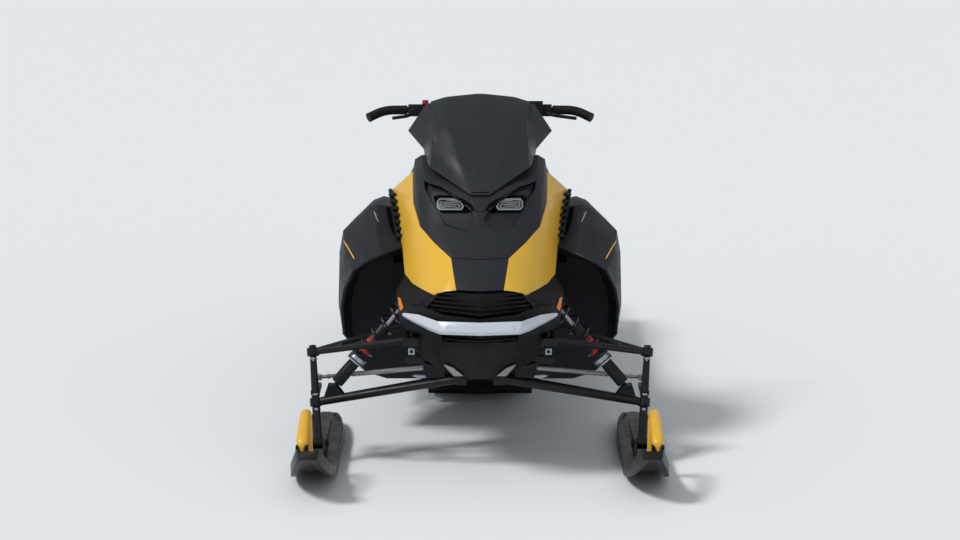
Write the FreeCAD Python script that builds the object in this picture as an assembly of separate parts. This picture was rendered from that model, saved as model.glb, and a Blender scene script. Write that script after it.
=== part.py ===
import FreeCAD, Part
import math
import os

# Snowmobile, in millimetres: x to the rider's left, y to the rear, z up, floor at z = 0.
# Every piece is its own solid or group of solids, written to parts/ under its node name.

V = FreeCAD.Vector

# Clearances
FIT = 0.3               # seating or running gap between two pieces
MOVING = 5.0            # gap round a piece that turns inside a panel

# Sides of bars that turn on nothing
FINE = 12               # bars in full view
COARSE = 8              # bars inside the machine

# Skis
STANCE = 1081.0         # between the two ski centre lines
SKI_X = STANCE / 2
SKI_WIDTH = 145.0
SKI_TIP_Y = -1525.0
SKI_TAIL_Y = -475.0
SKI_BEND_Y = -1105.0    # where the flat base starts to rise to the tip
SKI_TIP_Z = 186.0
SKI_BASE_Z = 26.0       # underside of the deck above the floor
SKI_DECK = 14.0
SKI_TOP_Z = SKI_BASE_Z + SKI_DECK
SKI_PLAN = [            # from the tip: distance back, share of the half width
    (0, 0.30), (12, 0.42), (40, 0.54), (90, 0.70), (160, 0.86), (240, 0.96), (320, 1.0)]
SKI_TAIL_PLAN = [       # from the tail: distance forward, share
    (280, 1.0), (190, 0.93), (110, 0.80), (55, 0.62), (20, 0.40), (0, 0.18)]
KEEL_WIDTH = 14.0
KEEL_DEPTH = 16.0
RIM_WIDTH = 9.0         # raised edge on top of the deck
RIM_HEIGHT = 8.0
RUNNER_RADIUS = 5.0     # steel runner, lowest piece of the ski
EAR_SPREAD = 62.0       # between the outer faces of the two ears
EAR_WALL = 9.0
EAR_FOOT = 90.0         # half length of an ear on the deck
EAR_HEAD = 26.0         # half length at its top
EAR_OVER = 16.0         # ear above the ski bolt
HANDLE_WIDTH = 36.0
HANDLE_SIDE = 20.0      # handle's middle, outwards from the ski's centre line
HANDLE_TOP_Z = 256.0
HANDLE_REAR_Y = -1165.0 # back of the handle's rear foot

# Kingpin: the line through both ball joints, carried on to the ski bolt
LOWER_BALL = V(SKI_X + 4.5, -995.0, 208.0)
UPPER_BALL = V(SKI_X + 16.5, -932.0, 364.0)
SKI_BOLT_Z = 81.0
KINGPIN_PIN = 8.0       # radius of the pins in the arms' bosses
BOSS_RADIUS = 20.0
BOSS_HEIGHT = 26.0
UPRIGHT_WIDTH = 26.0    # spindle between the two bosses
UPRIGHT_DEPTH = 26.0
SPINDLE_SWEEP = 20.5    # radius that the upright needs beside a boss
SKI_BOLT_RADIUS = 7.0
BOLT_HEAD = 9.0

# Suspension arms, shocks and tie rods, left side
LOWER_TUBE = 14.0
LOWER_FRONT = V(70.0, -1105.0, 314.0)
LOWER_REAR = V(70.0, -760.0, 238.0)
UPPER_TUBE = 11.0
UPPER_FRONT = V(240.0, -1112.0, 446.0)
UPPER_REAR = V(240.0, -880.0, 446.0)
PIVOT_ROD = 8.0
ARM_BOSS = 15.0
ARM_BOSS_LENGTH = 44.0
GUSSET = 6.0
LOWER_BRACE = 0.5       # cross brace, share of the way from the ball to the pivots
UPPER_BRACE = 0.3
SHOCK_LOW = LOWER_BALL + V(-55.0, 5.0, 48.0)
SHOCK_TOP = V(UPPER_FRONT.x, -965.0, 545.0)
SHOCK_BOLT = 6.0
SHOCK_EYE = 13.0
CLEVIS_WALL = 8.0
SHOCK_SHAFT = 6.5
SHOCK_BODY = [          # from the lower eye: start, length, radius
    (24.0, 92.0, 20.0), (116.0, 22.0, 30.0), (138.0, 132.0, 19.0)]
SPRING_SEAT = (34.0, 8.0, 30.0)     # from the upper eye: distance, length, radius
COIL_RADIUS = 29.0
COIL_WIRE = 3.8
COIL_TURNS = 4
COIL_STEPS = 10         # straight runs in one turn
COIL_SEAT = 0.1         # gap between the coil and its seats
TIE_OUT = LOWER_BALL + V(-2.0, 110.0, 58.0)
TIE_IN = V(128.0, TIE_OUT.y, 304.4)
TIE_ROD = 7.5
TIE_END = 5.5           # radius of the thinner outer end
TIE_END_LENGTH = 120.0
TIE_EYE = 9.0
TIE_EYE_RADIUS = 13.0
BUSHING_X = (150.0, 190.0)          # the tie rod's bushing across the frame
STEER_ARM_WALL = 12.0
STEER_ARM_Z = TIE_OUT.z - TIE_EYE - STEER_ARM_WALL - 11.0
STEER_ARM_HALF = 15.0

# Belt, lugs and the circles that the belt runs round
TRACK_WIDTH = 381.0
BELT = 8.0
PITCH = 72.5            # between two rows of lugs
LUG_ROWS = 48
LUG_HEIGHT = 32.0
LUG_BASE = 18.0
LUG_TIP = 10.0
CENTRE_LUG = 60.0       # half width of the middle row's lugs
TEETH = 8
DRIVER_X = 95.0         # driver's middle from the centre plane
DRIVER_HALF = 7.0
WINDOW_HALF_X = 11.0
WINDOW_HALF = 15.0      # half length of a window along the belt
AXLE_Y = -405.0
AXLE_Z = 340.0
AXLE_RADIUS = 14.0
SPROCKET_RADIUS = TEETH * PITCH / (2 * math.pi) - BELT / 2
CARRIER_Y = 480.0
CARRIER_Z = 318.0
CARRIER_RADIUS = 67.0
IDLER_RADIUS = 100.0
ROLLER_RADIUS = 60.0
FRONT_BEND_Y = -30.0
FRONT_BEND_RADIUS = 260.0
BELT_BASE = LUG_HEIGHT + BELT       # height of the belt's inner line along the floor

# Rails and arms inside the track
RAIL_SPREAD = 268.0     # between the two rails' centre lines
RAIL_WALL = 13.0
RAIL_HEIGHT = 80.0
RAIL_SWEEP = 50.0       # degrees of the front bend that the rail follows
RAIL_SLOT = (60.0, 30.0)            # length and height of a lightening slot
RAIL_SLOTS = [50.0, 120.0, 430.0, 510.0, 590.0, 705.0, 816.0]
SKID_SHAFT = 10.0
SKID_TUBE = 12.0
LEG_X = 95.0
FRONT_ARM = (-100.0, 330.0, 190.0, 88.0)    # y and z at the tunnel, y and z at the rails
REAR_ARM = (CARRIER_Y, CARRIER_Z, 760.0, 88.0)
SHOCK_SHAFTS = [(345.0, 82.0), (872.0, 96.0)]
ARM_BAR_SHARE = 0.3     # cross bar for the shock, share of the way down the arm
WHEEL_WIDTH = 22.0
WHEEL_HUB = 24.0
WHEEL_RIM = 13.0
WHEEL_DISH = 6.0
WHEEL_SIDES = 28
INNER_WHEEL_X = 60.0
OUTER_WHEEL_X = 158.0

# Tunnel and running boards
TUNNEL_WIDTH = 420.0
TUNNEL_WALL = 5.0
TUNNEL_TOP = 500.0
TUNNEL_FRONT_Y = -545.0
TUNNEL_REAR_Y = 1170.0
DECK_HOLE = 4.5         # four holes in the rear deck for a rack
DECK_HOLE_X = 120.0
DECK_HOLE_Y = (TUNNEL_REAR_Y - 205.0, TUNNEL_REAR_Y - 85.0)
BOARD_Z = 300.0         # underside of the running boards
BOARD_WALL = 16.0
BOARD_WIDTH = 440.0     # centre line to the outer edge
BOARD_EDGE = 18.0
BOARD_RISE = 40.0
BOARD_FRONT_Y = -350.0
BOARD_REAR_Y = 1050.0
BOARD_SLOT = (62.0, 84.0)           # one opening of the lattice, across and along
BOARD_SLOT_ROWS = 11
TOE_Y = -150.0
TOE_TUBE = 9.0

# Front frame
FRAME_HALF = 210.0
FRAME_WALL = 8.0
FRAME_FLOOR_Z = 340.0
FRAME_NOSE = (50.0, -1158.0)        # front corner of the floor, behind the belly
FRAME_TOP_Z = 590.0
FRAME_FRONT_Y = -1010.0
BRACKET = 9.0           # wall of the brackets that hold the arms' pivots
FRAME_TUBE = 20.0

# Body panels
PANEL = 5.0             # wall of every moulded panel
EYE_DEPTH = 16.0        # lamp pockets below the hood's surface
EYE_LIP = 4.0
LENS_DEPTH = 5.0        # lens below the hood's surface

# Steering column
COLUMN_TOP = V(0.0, -385.0, 1089.0)
COLUMN_LEAN = 30.0      # degrees from upright, top towards the rider
COLUMN_RADIUS = 15.0
BEARING_DOWN = 235.0    # from the handlebar down the column to its bearing
BEARING_HALF = 18.0
BEARING_RADIUS = 36.0
BAR_RADIUS = 11.0
BAR_RISE = 10.0
GRIP_RADIUS = 16.0
GRIP_START = 252.0
SWITCH_X = 228.0
SWITCH_HALF = 21.0
RESERVOIR_X = (166.0, 218.0)
BUTTON_X = 190.0
LEVER = 6.0

# Rear end
LOOP_RADIUS = 12.0
LOOP_Z = TUNNEL_TOP - 30.0
LOOP_RUN = 270.0        # straight run beside the tunnel
LOOP_BACK = 100.0       # loop behind the tunnel
LOOP_UP = 50.0
FLAP_HALF = 185.0


def polygon(points):
    """Closed wire through the points."""
    return Part.makePolygon(list(points) + [points[0]])


def prism_x(outline, x0, x1):
    """Outline of (y, z) pairs drawn out along x."""
    face = Part.Face(polygon([V(x0, y, z) for y, z in outline]))
    return face.extrude(V(x1 - x0, 0, 0))


def prism_y(outline, y0, y1):
    """Outline of (x, z) pairs drawn out along y."""
    face = Part.Face(polygon([V(x, y0, z) for x, z in outline]))
    return face.extrude(V(0, y1 - y0, 0))


def prism_z(outline, z0, z1):
    """Outline of (x, y) pairs drawn out along z."""
    face = Part.Face(polygon([V(x, y, z0) for x, y in outline]))
    return face.extrude(V(0, 0, z1 - z0))


def box(x0, x1, y0, y1, z0, z1):
    """Block between two corners, given in any order along x."""
    return Part.makeBox(abs(x1 - x0), y1 - y0, z1 - z0, V(min(x0, x1), y0, z0))


def rod(start, end, radius):
    """Round bar between two points."""
    return Part.makeCylinder(radius, (end - start).Length, start, end - start)


def across(direction):
    """Two directions square to a given one and to each other."""
    upright = V(0, 0, 1)
    if abs(direction.z) > 0.9 * direction.Length:
        upright = V(0, 1, 0)
    first = direction.cross(upright).normalize()
    return first, direction.cross(first).normalize()


def section(centre, direction, radius, sides):
    """Corners of a regular section square to a direction."""
    first, second = across(direction)
    turns = [2 * math.pi * (k + 0.5) / sides for k in range(sides)]
    return [centre + (first * math.cos(a) + second * math.sin(a)) * radius for a in turns]


def bar(start, end, radius, sides=FINE):
    """Bar of many flats between two points."""
    direction = end - start
    return Part.Face(polygon(section(start, direction, radius, sides))).extrude(direction)


def solid_of(faces):
    """Solid inside a closed set of faces."""
    shell = Part.Shell(faces)
    shell.sewShape()
    solid = Part.Solid(shell)
    if solid.Volume < 0:
        solid.reverse()
    return solid


def mitred(points, radius, sides=FINE):
    """Bar of many flats along straight runs, mitred where they meet."""
    runs = [(b - a).normalize() for a, b in zip(points, points[1:])]
    rings = [section(points[0], runs[0], radius, sides)]
    for i in range(1, len(points)):
        before = runs[i - 1]
        after = runs[min(i, len(runs) - 1)]
        mitre = before + after
        last = rings[-1]
        rings.append([p + before * ((points[i] - p).dot(mitre) / before.dot(mitre)) for p in last])
    faces = [Part.Face(polygon(rings[0])), Part.Face(polygon(rings[-1]))]
    for low, high in zip(rings, rings[1:]):
        for k in range(sides):
            n = (k + 1) % sides
            faces.append(Part.Face(polygon([low[k], low[n], high[n], high[k]])))
    return solid_of(faces)


def rounded(points, bend, steps=3):
    """Path with every corner cut into short runs on an arc of the bend radius."""
    path = [points[0]]
    for before, corner, after in zip(points, points[1:], points[2:]):
        to_before = (before - corner).normalize()
        to_after = (after - corner).normalize()
        half = to_before.getAngle(to_after) / 2
        centre = corner + (to_before + to_after).normalize() * (bend / math.sin(half))
        start = corner + to_before * (bend / math.tan(half)) - centre
        end = corner + to_after * (bend / math.tan(half)) - centre
        turn = start.getAngle(end)
        for k in range(steps + 1):
            share = k / steps
            spoke = start * math.sin((1 - share) * turn) + end * math.sin(share * turn)
            path.append(centre + spoke * (1 / math.sin(turn)))
    return path + [points[-1]]


def taper(start, end, low, high):
    """Forging with cut corners from one (width along x, depth) to another."""
    direction = (end - start).normalize()
    side = V(1, 0, 0) - direction * direction.x
    side.normalize()
    deep = direction.cross(side)
    wires = []
    for centre, (width, depth) in ((start, low), (end, high)):
        w, d = width / 2, depth / 2
        cut = min(w, d) * 0.35
        corners = [(w, d - cut), (w - cut, d), (cut - w, d), (-w, d - cut),
                   (-w, cut - d), (cut - w, -d), (w - cut, -d), (w, cut - d)]
        wires.append(polygon([centre + side * u + deep * v for u, v in corners]))
    return Part.makeLoft(wires, True, True)


def plate(points, wall):
    """Flat plate through points in one plane, its wall half on either side."""
    normal = (points[1] - points[0]).cross(points[2] - points[0]).normalize()
    return Part.Face(polygon([p - normal * (wall / 2) for p in points])).extrude(normal * wall)


def along(start, end, distance):
    """Point at a distance from start on the line to end."""
    return start + (end - start).normalize() * distance


def between(start, end, share):
    """Point at a share of the way from start to end."""
    return start + (end - start) * share


def fuse(shapes):
    """One solid from touching shapes."""
    return shapes[0].multiFuse(list(shapes[1:])).removeSplitter()


def mirror(shape):
    """The same piece on the other side of the centre plane."""
    return shape.mirror(V(0, 0, 0), V(1, 0, 0))


def both(shape):
    """A piece and its mirror twin."""
    return Part.Compound([shape, mirror(shape)])


def flip(point):
    """Point on the other side of the centre plane."""
    return V(-point.x, point.y, point.z)


def sided(point, side):
    """Point on the left for side 1, on the right for side -1."""
    return V(side * point.x, point.y, point.z)


def whole_rows(rows):
    """Half rows that start on the centre plane, carried over to the other side."""
    return [[flip(V(*p)) for p in reversed(row[1:])] + [V(*p) for p in row] for row in rows]


def layer(rows, low, high, grow=0.0):
    """Solid between two heights above a moulded surface, low under high.

    Rows of points run from the front or the bottom, points in a row from right to
    left as seen from the front, so that the outward side is up or forward.
    """
    grid = [[V(*p) for p in row] for row in rows]
    count, width = len(grid), len(grid[0])
    if grow:
        for row in grid:
            row[0] = along(row[0], row[1], -grow)
            row[-1] = along(row[-1], row[-2], -grow)
        grid[0] = [along(p, q, -grow) for p, q in zip(grid[0], grid[1])]
        grid[-1] = [along(p, q, -grow) for p, q in zip(grid[-1], grid[-2])]

    def normal(i, j):
        along_row = grid[i][min(j + 1, width - 1)] - grid[i][max(j - 1, 0)]
        along_column = grid[min(i + 1, count - 1)][j] - grid[max(i - 1, 0)][j]
        return along_row.cross(along_column).normalize()

    normals = [[normal(i, j) for j in range(width)] for i in range(count)]
    outer = [[grid[i][j] + normals[i][j] * high for j in range(width)] for i in range(count)]
    inner = [[grid[i][j] + normals[i][j] * low for j in range(width)] for i in range(count)]
    faces = []

    def facet(*corners):
        faces.append(Part.Face(polygon(corners)))

    for i in range(count - 1):
        for j in range(width - 1):
            falling = (grid[i][j] - grid[i + 1][j + 1]).Length
            rising = (grid[i][j + 1] - grid[i + 1][j]).Length
            for side in (outer, inner):
                a, b, c, d = side[i][j], side[i][j + 1], side[i + 1][j + 1], side[i + 1][j]
                if falling <= rising:
                    facet(a, b, c)
                    facet(a, c, d)
                else:
                    facet(a, b, d)
                    facet(b, c, d)
    rims = [((i, j), (i + 1, j)) for i in range(count - 1) for j in (0, width - 1)]
    rims += [((i, j), (i, j + 1)) for j in range(width - 1) for i in (0, count - 1)]
    for (i, j), (k, m) in rims:
        facet(outer[i][j], outer[k][m], inner[k][m])
        facet(outer[i][j], inner[k][m], inner[i][j])
    return solid_of(faces)


def sheet(rows):
    """Moulded panel; its wall lies on the inner side."""
    return layer(rows, -PANEL, 0)


def fat(rows):
    """A panel with its fit all round, to trim a neighbour by."""
    return layer(rows, -PANEL - FIT, FIT, FIT)


def trimmed(shape, cutters):
    """A panel cut back to its neighbours; the largest piece is kept."""
    rest = shape.cut(Part.Compound(cutters))
    return max(rest.Solids, key=lambda solid: solid.Volume)


# Kingpin line
KINGPIN = (UPPER_BALL - LOWER_BALL).normalize()


def on_kingpin(z):
    """Point of the kingpin line at a height."""
    return LOWER_BALL + KINGPIN * ((z - LOWER_BALL.z) / KINGPIN.z)


SKI_BOLT = on_kingpin(SKI_BOLT_Z)


def ski_curve(offset):
    """Centre, radius and sweep of the tip's arc at a height above the deck's underside."""
    run = SKI_BEND_Y - SKI_TIP_Y
    rise = SKI_TIP_Z - SKI_TOP_Z
    radius = (run ** 2 + rise ** 2) / (2 * rise)
    centre = V(0, SKI_BEND_Y, SKI_BASE_Z + radius)
    return centre, radius - offset, math.asin(run / radius)


def ski_top(y):
    """Height of the deck's top at a place along the ski."""
    if y >= SKI_BEND_Y:
        return SKI_TOP_Z
    centre, radius, _ = ski_curve(SKI_DECK)
    return centre.z - math.sqrt(radius ** 2 - (y - SKI_BEND_Y) ** 2)


def ski_band(low, high, tail_y, half):
    """Side profile of the ski between two heights, drawn out to a half width."""
    centre, low_radius, sweep = ski_curve(low)
    high_radius = ski_curve(high)[1]

    def at(radius, share):
        angle = sweep * share
        return centre + V(0, -radius * math.sin(angle), -radius * math.cos(angle))

    low_z, high_z = SKI_BASE_Z + low, SKI_BASE_Z + high
    steps = [k / 8 for k in range(9)]
    points = [V(0, tail_y, low_z)] + [at(low_radius, s) for s in steps]
    points += [at(high_radius, s) for s in reversed(steps)] + [V(0, tail_y, high_z)]
    face = Part.Face(polygon([p - V(half, 0, 0) for p in points]))
    return face.extrude(V(2 * half, 0, 0))


def ski_plan(inset):
    """Outline of the ski from above, moved inwards."""
    half = SKI_WIDTH / 2
    rows = [(SKI_TIP_Y - SKI_DECK + back + inset, share * half - inset) for back, share in SKI_PLAN]
    rows += [(SKI_TAIL_Y - front - inset, share * half - inset) for front, share in SKI_TAIL_PLAN]
    return [(x, y) for y, x in rows] + [(-x, y) for y, x in reversed(rows)]


def ski():
    """Deck with a rising tip, keels and rims that follow its outline, and two ears."""
    half = SKI_WIDTH / 2
    top = SKI_TIP_Z + SKI_DECK
    whole = prism_z(ski_plan(0), 0, top)
    deck = ski_band(0, SKI_DECK, SKI_TAIL_Y, half).common(whole)
    keel_tail = SKI_TAIL_Y - 60
    edge = whole.cut(prism_z(ski_plan(KEEL_WIDTH), 0, top))
    keels = ski_band(-KEEL_DEPTH, 0, keel_tail, half).common(edge)
    keel_half = KEEL_WIDTH / 2
    centre_keel = prism_x([(SKI_BEND_Y, SKI_BASE_Z), (SKI_BEND_Y + 40, SKI_BASE_Z - KEEL_DEPTH),
                           (keel_tail - 30, SKI_BASE_Z - KEEL_DEPTH), (keel_tail, SKI_BASE_Z)],
                          -keel_half, keel_half)
    rim = whole.cut(prism_z(ski_plan(RIM_WIDTH), 0, top))
    rims = ski_band(SKI_DECK, SKI_DECK + RIM_HEIGHT, SKI_TAIL_Y - 40, half).common(rim)
    ribs = [box(x - 3, x + 3, SKI_BEND_Y + 165, keel_tail - 60, SKI_TOP_Z, SKI_TOP_Z + 6)
            for x in (-20, 20)]
    y = SKI_BOLT.y
    ear = [(y - EAR_FOOT, SKI_TOP_Z), (y - EAR_HEAD, SKI_BOLT_Z + EAR_OVER),
           (y + EAR_HEAD, SKI_BOLT_Z + EAR_OVER), (y + EAR_FOOT, SKI_TOP_Z)]
    ears = [prism_x(ear, side * EAR_SPREAD / 2, side * (EAR_SPREAD / 2 - EAR_WALL))
            for side in (-1, 1)]
    body = fuse([deck, keels, centre_keel, rims] + ribs + ears)
    hole = rod(V(-half, y, SKI_BOLT_Z), V(half, y, SKI_BOLT_Z), SKI_BOLT_RADIUS + FIT)
    body = body.cut(hole)
    body.translate(V(SKI_X, 0, 0))
    return body


def runner():
    """Steel runner under the centre keel, its underside on the floor."""
    low = SKI_BASE_Z - KEEL_DEPTH - RUNNER_RADIUS
    return rod(V(SKI_X, SKI_BEND_Y + 60, low), V(SKI_X, SKI_TAIL_Y - 110, low), RUNNER_RADIUS)


def ski_handle():
    """Loop that stands on the tip and on the deck behind it."""
    rim = RIM_HEIGHT * 2
    feet = [SKI_TIP_Y + 34, SKI_TIP_Y + 50, SKI_TIP_Y + 66]
    rear = HANDLE_REAR_Y
    outline = [(y, ski_top(y) - SKI_DECK / 2) for y in reversed(feet)]
    outline += [(SKI_TIP_Y + 30, SKI_TIP_Z + rim), (SKI_TIP_Y + 75, SKI_TIP_Z + 34),
                (rear - 165, HANDLE_TOP_Z - 4), (rear - 100, HANDLE_TOP_Z),
                (rear - 50, HANDLE_TOP_Z - 26), (rear, ski_top(rear) - SKI_DECK / 2),
                (rear - 40, ski_top(rear) - SKI_DECK / 2), (rear - 71, HANDLE_TOP_Z - 46),
                (rear - 110, HANDLE_TOP_Z - 24), (rear - 165, HANDLE_TOP_Z - 30),
                (SKI_TIP_Y + 95, SKI_TIP_Z + 4)]
    middle = HANDLE_SIDE
    loop = prism_x(outline, middle - HANDLE_WIDTH / 2, middle + HANDLE_WIDTH / 2)
    half = SKI_WIDTH / 2
    top = SKI_TIP_Z + 2 * SKI_DECK
    edge = prism_z(ski_plan(-FIT), 0, top).cut(prism_z(ski_plan(RIM_WIDTH + FIT), 0, top))
    rims = ski_band(SKI_DECK, SKI_DECK + RIM_HEIGHT + FIT, SKI_TAIL_Y, half).common(edge)
    loop = loop.cut(Part.Compound([ski_band(0, SKI_DECK + FIT, SKI_TAIL_Y, half), rims]))
    loop.translate(V(SKI_X, 0, 0))
    return max(loop.Solids, key=lambda solid: solid.Volume)


def ring(centre, axis, outer, inner, height):
    """Boss centred on a point, bored along its axis."""
    start = centre - axis * (height / 2)
    return Part.makeCylinder(outer, height, start, axis).cut(
        Part.makeCylinder(inner, height, start, axis))


def spindle():
    """Upright on the kingpin line with a steering arm and a foot on the ski's bolt."""
    half_boss = BOSS_HEIGHT / 2 + FIT
    x = V(1, 0, 0)
    upright = taper(LOWER_BALL + KINGPIN * half_boss, UPPER_BALL - KINGPIN * half_boss,
                    (UPRIGHT_WIDTH, UPRIGHT_DEPTH), (UPRIGHT_WIDTH * 0.8, UPRIGHT_DEPTH * 0.75))
    leg = taper(SKI_BOLT, LOWER_BALL - KINGPIN * half_boss,
                (UPRIGHT_WIDTH, UPRIGHT_DEPTH), (UPRIGHT_WIDTH, UPRIGHT_DEPTH))
    pin = rod(SKI_BOLT, UPPER_BALL + KINGPIN * (half_boss + 2), KINGPIN_PIN)
    cap_start = UPPER_BALL + KINGPIN * half_boss
    cap = bar(cap_start, cap_start + KINGPIN * BOLT_HEAD, KINGPIN_PIN * 1.6, 6)
    inside = EAR_SPREAD / 2 - EAR_WALL - FIT
    outside = EAR_SPREAD / 2 + FIT
    foot = bar(V(SKI_X - inside, SKI_BOLT.y, SKI_BOLT.z), V(SKI_X + inside, SKI_BOLT.y, SKI_BOLT.z),
               19.0, 16)
    middle = V(SKI_X, SKI_BOLT.y, SKI_BOLT.z)
    bolt = rod(middle - x * (outside + 2), middle + x * (outside + 2), SKI_BOLT_RADIUS)
    heads = [bar(middle + x * (side * outside), middle + x * (side * (outside + BOLT_HEAD)),
                 SKI_BOLT_RADIUS * 1.8, 6) for side in (-1, 1)]
    root = on_kingpin(STEER_ARM_Z)
    tip = STEER_ARM_HALF - 3
    plan = [(root.x - STEER_ARM_HALF, root.y - 12), (root.x + STEER_ARM_HALF, root.y - 12),
            (TIE_OUT.x + tip, TIE_OUT.y), (TIE_OUT.x + 5, TIE_OUT.y + tip),
            (TIE_OUT.x - 5, TIE_OUT.y + tip), (TIE_OUT.x - tip, TIE_OUT.y)]
    arm_plate = prism_z(plan, STEER_ARM_Z, STEER_ARM_Z + STEER_ARM_WALL)
    return fuse([upright, leg, pin, cap, foot, bolt, arm_plate] + heads)


def arm(ball, front, rear, tube, share):
    """Two tubes from the ball's boss to the inner bosses, with a brace and a web between them.

    The holes are the bores and the room in which the spindle turns above and below the boss.
    """
    boss = rod(ball - KINGPIN * (BOSS_HEIGHT / 2), ball + KINGPIN * (BOSS_HEIGHT / 2), BOSS_RADIUS)
    pivot = (rear - front).normalize()
    inner = [rod(p - pivot * (ARM_BOSS_LENGTH / 2), p + pivot * (ARM_BOSS_LENGTH / 2), ARM_BOSS)
             for p in (front, rear)]
    rim = BOSS_RADIUS - 1
    tubes = [bar(along(ball, end, rim), end, tube) for end in (front, rear)]
    brace = bar(between(ball, front, share), between(ball, rear, share), tube * 0.8, COARSE)
    web_end = min(share, 0.25)
    web = plate([along(ball, front, rim), between(ball, front, web_end),
                 between(ball, rear, web_end), along(ball, rear, rim)], GUSSET)
    holes = [rod(p - pivot * ARM_BOSS_LENGTH, p + pivot * ARM_BOSS_LENGTH, PIVOT_ROD + FIT)
             for p in (front, rear)]
    holes.append(rod(ball - KINGPIN * BOSS_HEIGHT, ball + KINGPIN * BOSS_HEIGHT,
                     KINGPIN_PIN + FIT))
    for side in (-1, 1):
        holes.append(rod(ball + KINGPIN * (side * BOSS_HEIGHT / 2),
                         ball + KINGPIN * (side * 2 * BOSS_HEIGHT), SPINDLE_SWEEP))
    return fuse([boss, brace, web] + tubes + inner), holes


def lower_arm():
    """Lower arm with the shock's clevis on top."""
    body, holes = arm(LOWER_BALL, LOWER_FRONT, LOWER_REAR, LOWER_TUBE, LOWER_BRACE)
    x, z = SHOCK_LOW.x, SHOCK_LOW.z
    slope = (LOWER_FRONT.z - LOWER_BALL.z) / (LOWER_BALL.x - LOWER_FRONT.x)
    clevis = []
    for side in (-1, 1):
        y = SHOCK_LOW.y + side * (SHOCK_EYE + FIT + CLEVIS_WALL / 2)
        foot = LOWER_BALL.z + (LOWER_BALL.x - x) * slope
        clevis.append(prism_y([(x - 42, foot + 42 * slope), (x + 32, foot - 32 * slope),
                               (x + 14, z + 12), (x - 14, z + 12)],
                              y - CLEVIS_WALL / 2, y + CLEVIS_WALL / 2))
    body = fuse([body] + clevis)
    reach = V(0, SHOCK_EYE + CLEVIS_WALL + 8, 0)
    bolt = rod(SHOCK_LOW - reach, SHOCK_LOW + reach, SHOCK_BOLT)
    return fuse([body.cut(Part.Compound(holes)), bolt])


def upper_arm():
    """Upper arm with a web beside its boss."""
    body, holes = arm(UPPER_BALL, UPPER_FRONT, UPPER_REAR, UPPER_TUBE, UPPER_BRACE)
    return body.cut(Part.Compound(holes))


def shock():
    """Body, collar, sleeve, shaft and spring seat on one line, with an eye at each end."""
    y = V(0, 1, 0)
    pieces = [bar(along(SHOCK_LOW, SHOCK_TOP, start), along(SHOCK_LOW, SHOCK_TOP, start + length),
                  radius, 16) for start, length, radius in SHOCK_BODY]
    seat, wall, radius = SPRING_SEAT
    pieces.append(bar(along(SHOCK_TOP, SHOCK_LOW, seat), along(SHOCK_TOP, SHOCK_LOW, seat - wall),
                      radius, 16))
    pieces.append(bar(SHOCK_LOW, SHOCK_TOP, SHOCK_SHAFT, COARSE))
    pieces += [rod(p - y * SHOCK_EYE, p + y * SHOCK_EYE, SHOCK_EYE) for p in (SHOCK_LOW, SHOCK_TOP)]
    holes = [rod(p - y * 2 * SHOCK_EYE, p + y * 2 * SHOCK_EYE, SHOCK_BOLT + FIT)
             for p in (SHOCK_LOW, SHOCK_TOP)]
    return fuse(pieces).cut(Part.Compound(holes))


def coil():
    """Coil spring from the body's collar up to the seat under the upper eye."""
    span = (SHOCK_TOP - SHOCK_LOW).Length
    start, length, _ = SHOCK_BODY[1]
    low = start + length + COIL_WIRE + COIL_SEAT
    high = span - SPRING_SEAT[0] - COIL_WIRE - COIL_SEAT
    axis = (SHOCK_TOP - SHOCK_LOW).normalize()
    first, second = across(axis)
    steps = COIL_TURNS * COIL_STEPS
    points = []
    for k in range(steps + 1):
        angle = 2 * math.pi * k / COIL_STEPS
        spoke = first * math.cos(angle) + second * math.sin(angle)
        points.append(SHOCK_LOW + axis * (low + (high - low) * k / steps) + spoke * COIL_RADIUS)
    return mitred(points, COIL_WIRE, 6)


def tie_rod():
    """Rod from its bushing in the front frame out to its eye above the steering arm."""
    up = V(0, 0, TIE_EYE)
    thin = along(TIE_OUT, TIE_IN, TIE_END_LENGTH)
    return fuse([bar(TIE_OUT - up, TIE_OUT + up, TIE_EYE_RADIUS, FINE),
                 bar(TIE_OUT, thin, TIE_END), rod(thin, TIE_IN, TIE_ROD)])


def belt_path(idler_y):
    """Inner line of the belt as straight runs and arcs about the four wheels."""
    circles = [(AXLE_Y, AXLE_Z, SPROCKET_RADIUS), (CARRIER_Y, CARRIER_Z, CARRIER_RADIUS),
               (idler_y, BELT_BASE + IDLER_RADIUS, IDLER_RADIUS),
               (FRONT_BEND_Y, BELT_BASE + FRONT_BEND_RADIUS, FRONT_BEND_RADIUS)]
    normals = []
    for (y0, z0, r0), (y1, z1, r1) in zip(circles, circles[1:] + circles[:1]):
        length = math.hypot(y1 - y0, z1 - z0)
        dy, dz = (y1 - y0) / length, (z1 - z0) / length
        lean = (r0 - r1) / length
        rest = math.sqrt(1 - lean ** 2)
        normals.append((dy * lean - dz * rest, dz * lean + dy * rest))
    runs = []
    for i, (y, z, r) in enumerate(circles):
        n_in, n_out = normals[i - 1], normals[i]
        a_in, a_out = math.atan2(n_in[1], n_in[0]), math.atan2(n_out[1], n_out[0])
        turn = (a_in - a_out) % (2 * math.pi)
        runs.append(("arc", (y, z), r, a_in, turn))
        y1, z1, r1 = circles[(i + 1) % len(circles)]
        start = (y + r * n_out[0], z + r * n_out[1])
        end = (y1 + r1 * n_out[0], z1 + r1 * n_out[1])
        runs.append(("line", start, end, n_out, math.dist(start, end)))
    return runs


def run_length(run):
    """Length of a run on the middle line of the belt."""
    return run[4] * (run[2] + BELT / 2) if run[0] == "arc" else run[4]


def loop_length(runs):
    """Length of the whole middle line."""
    return sum(run_length(run) for run in runs)


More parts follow.
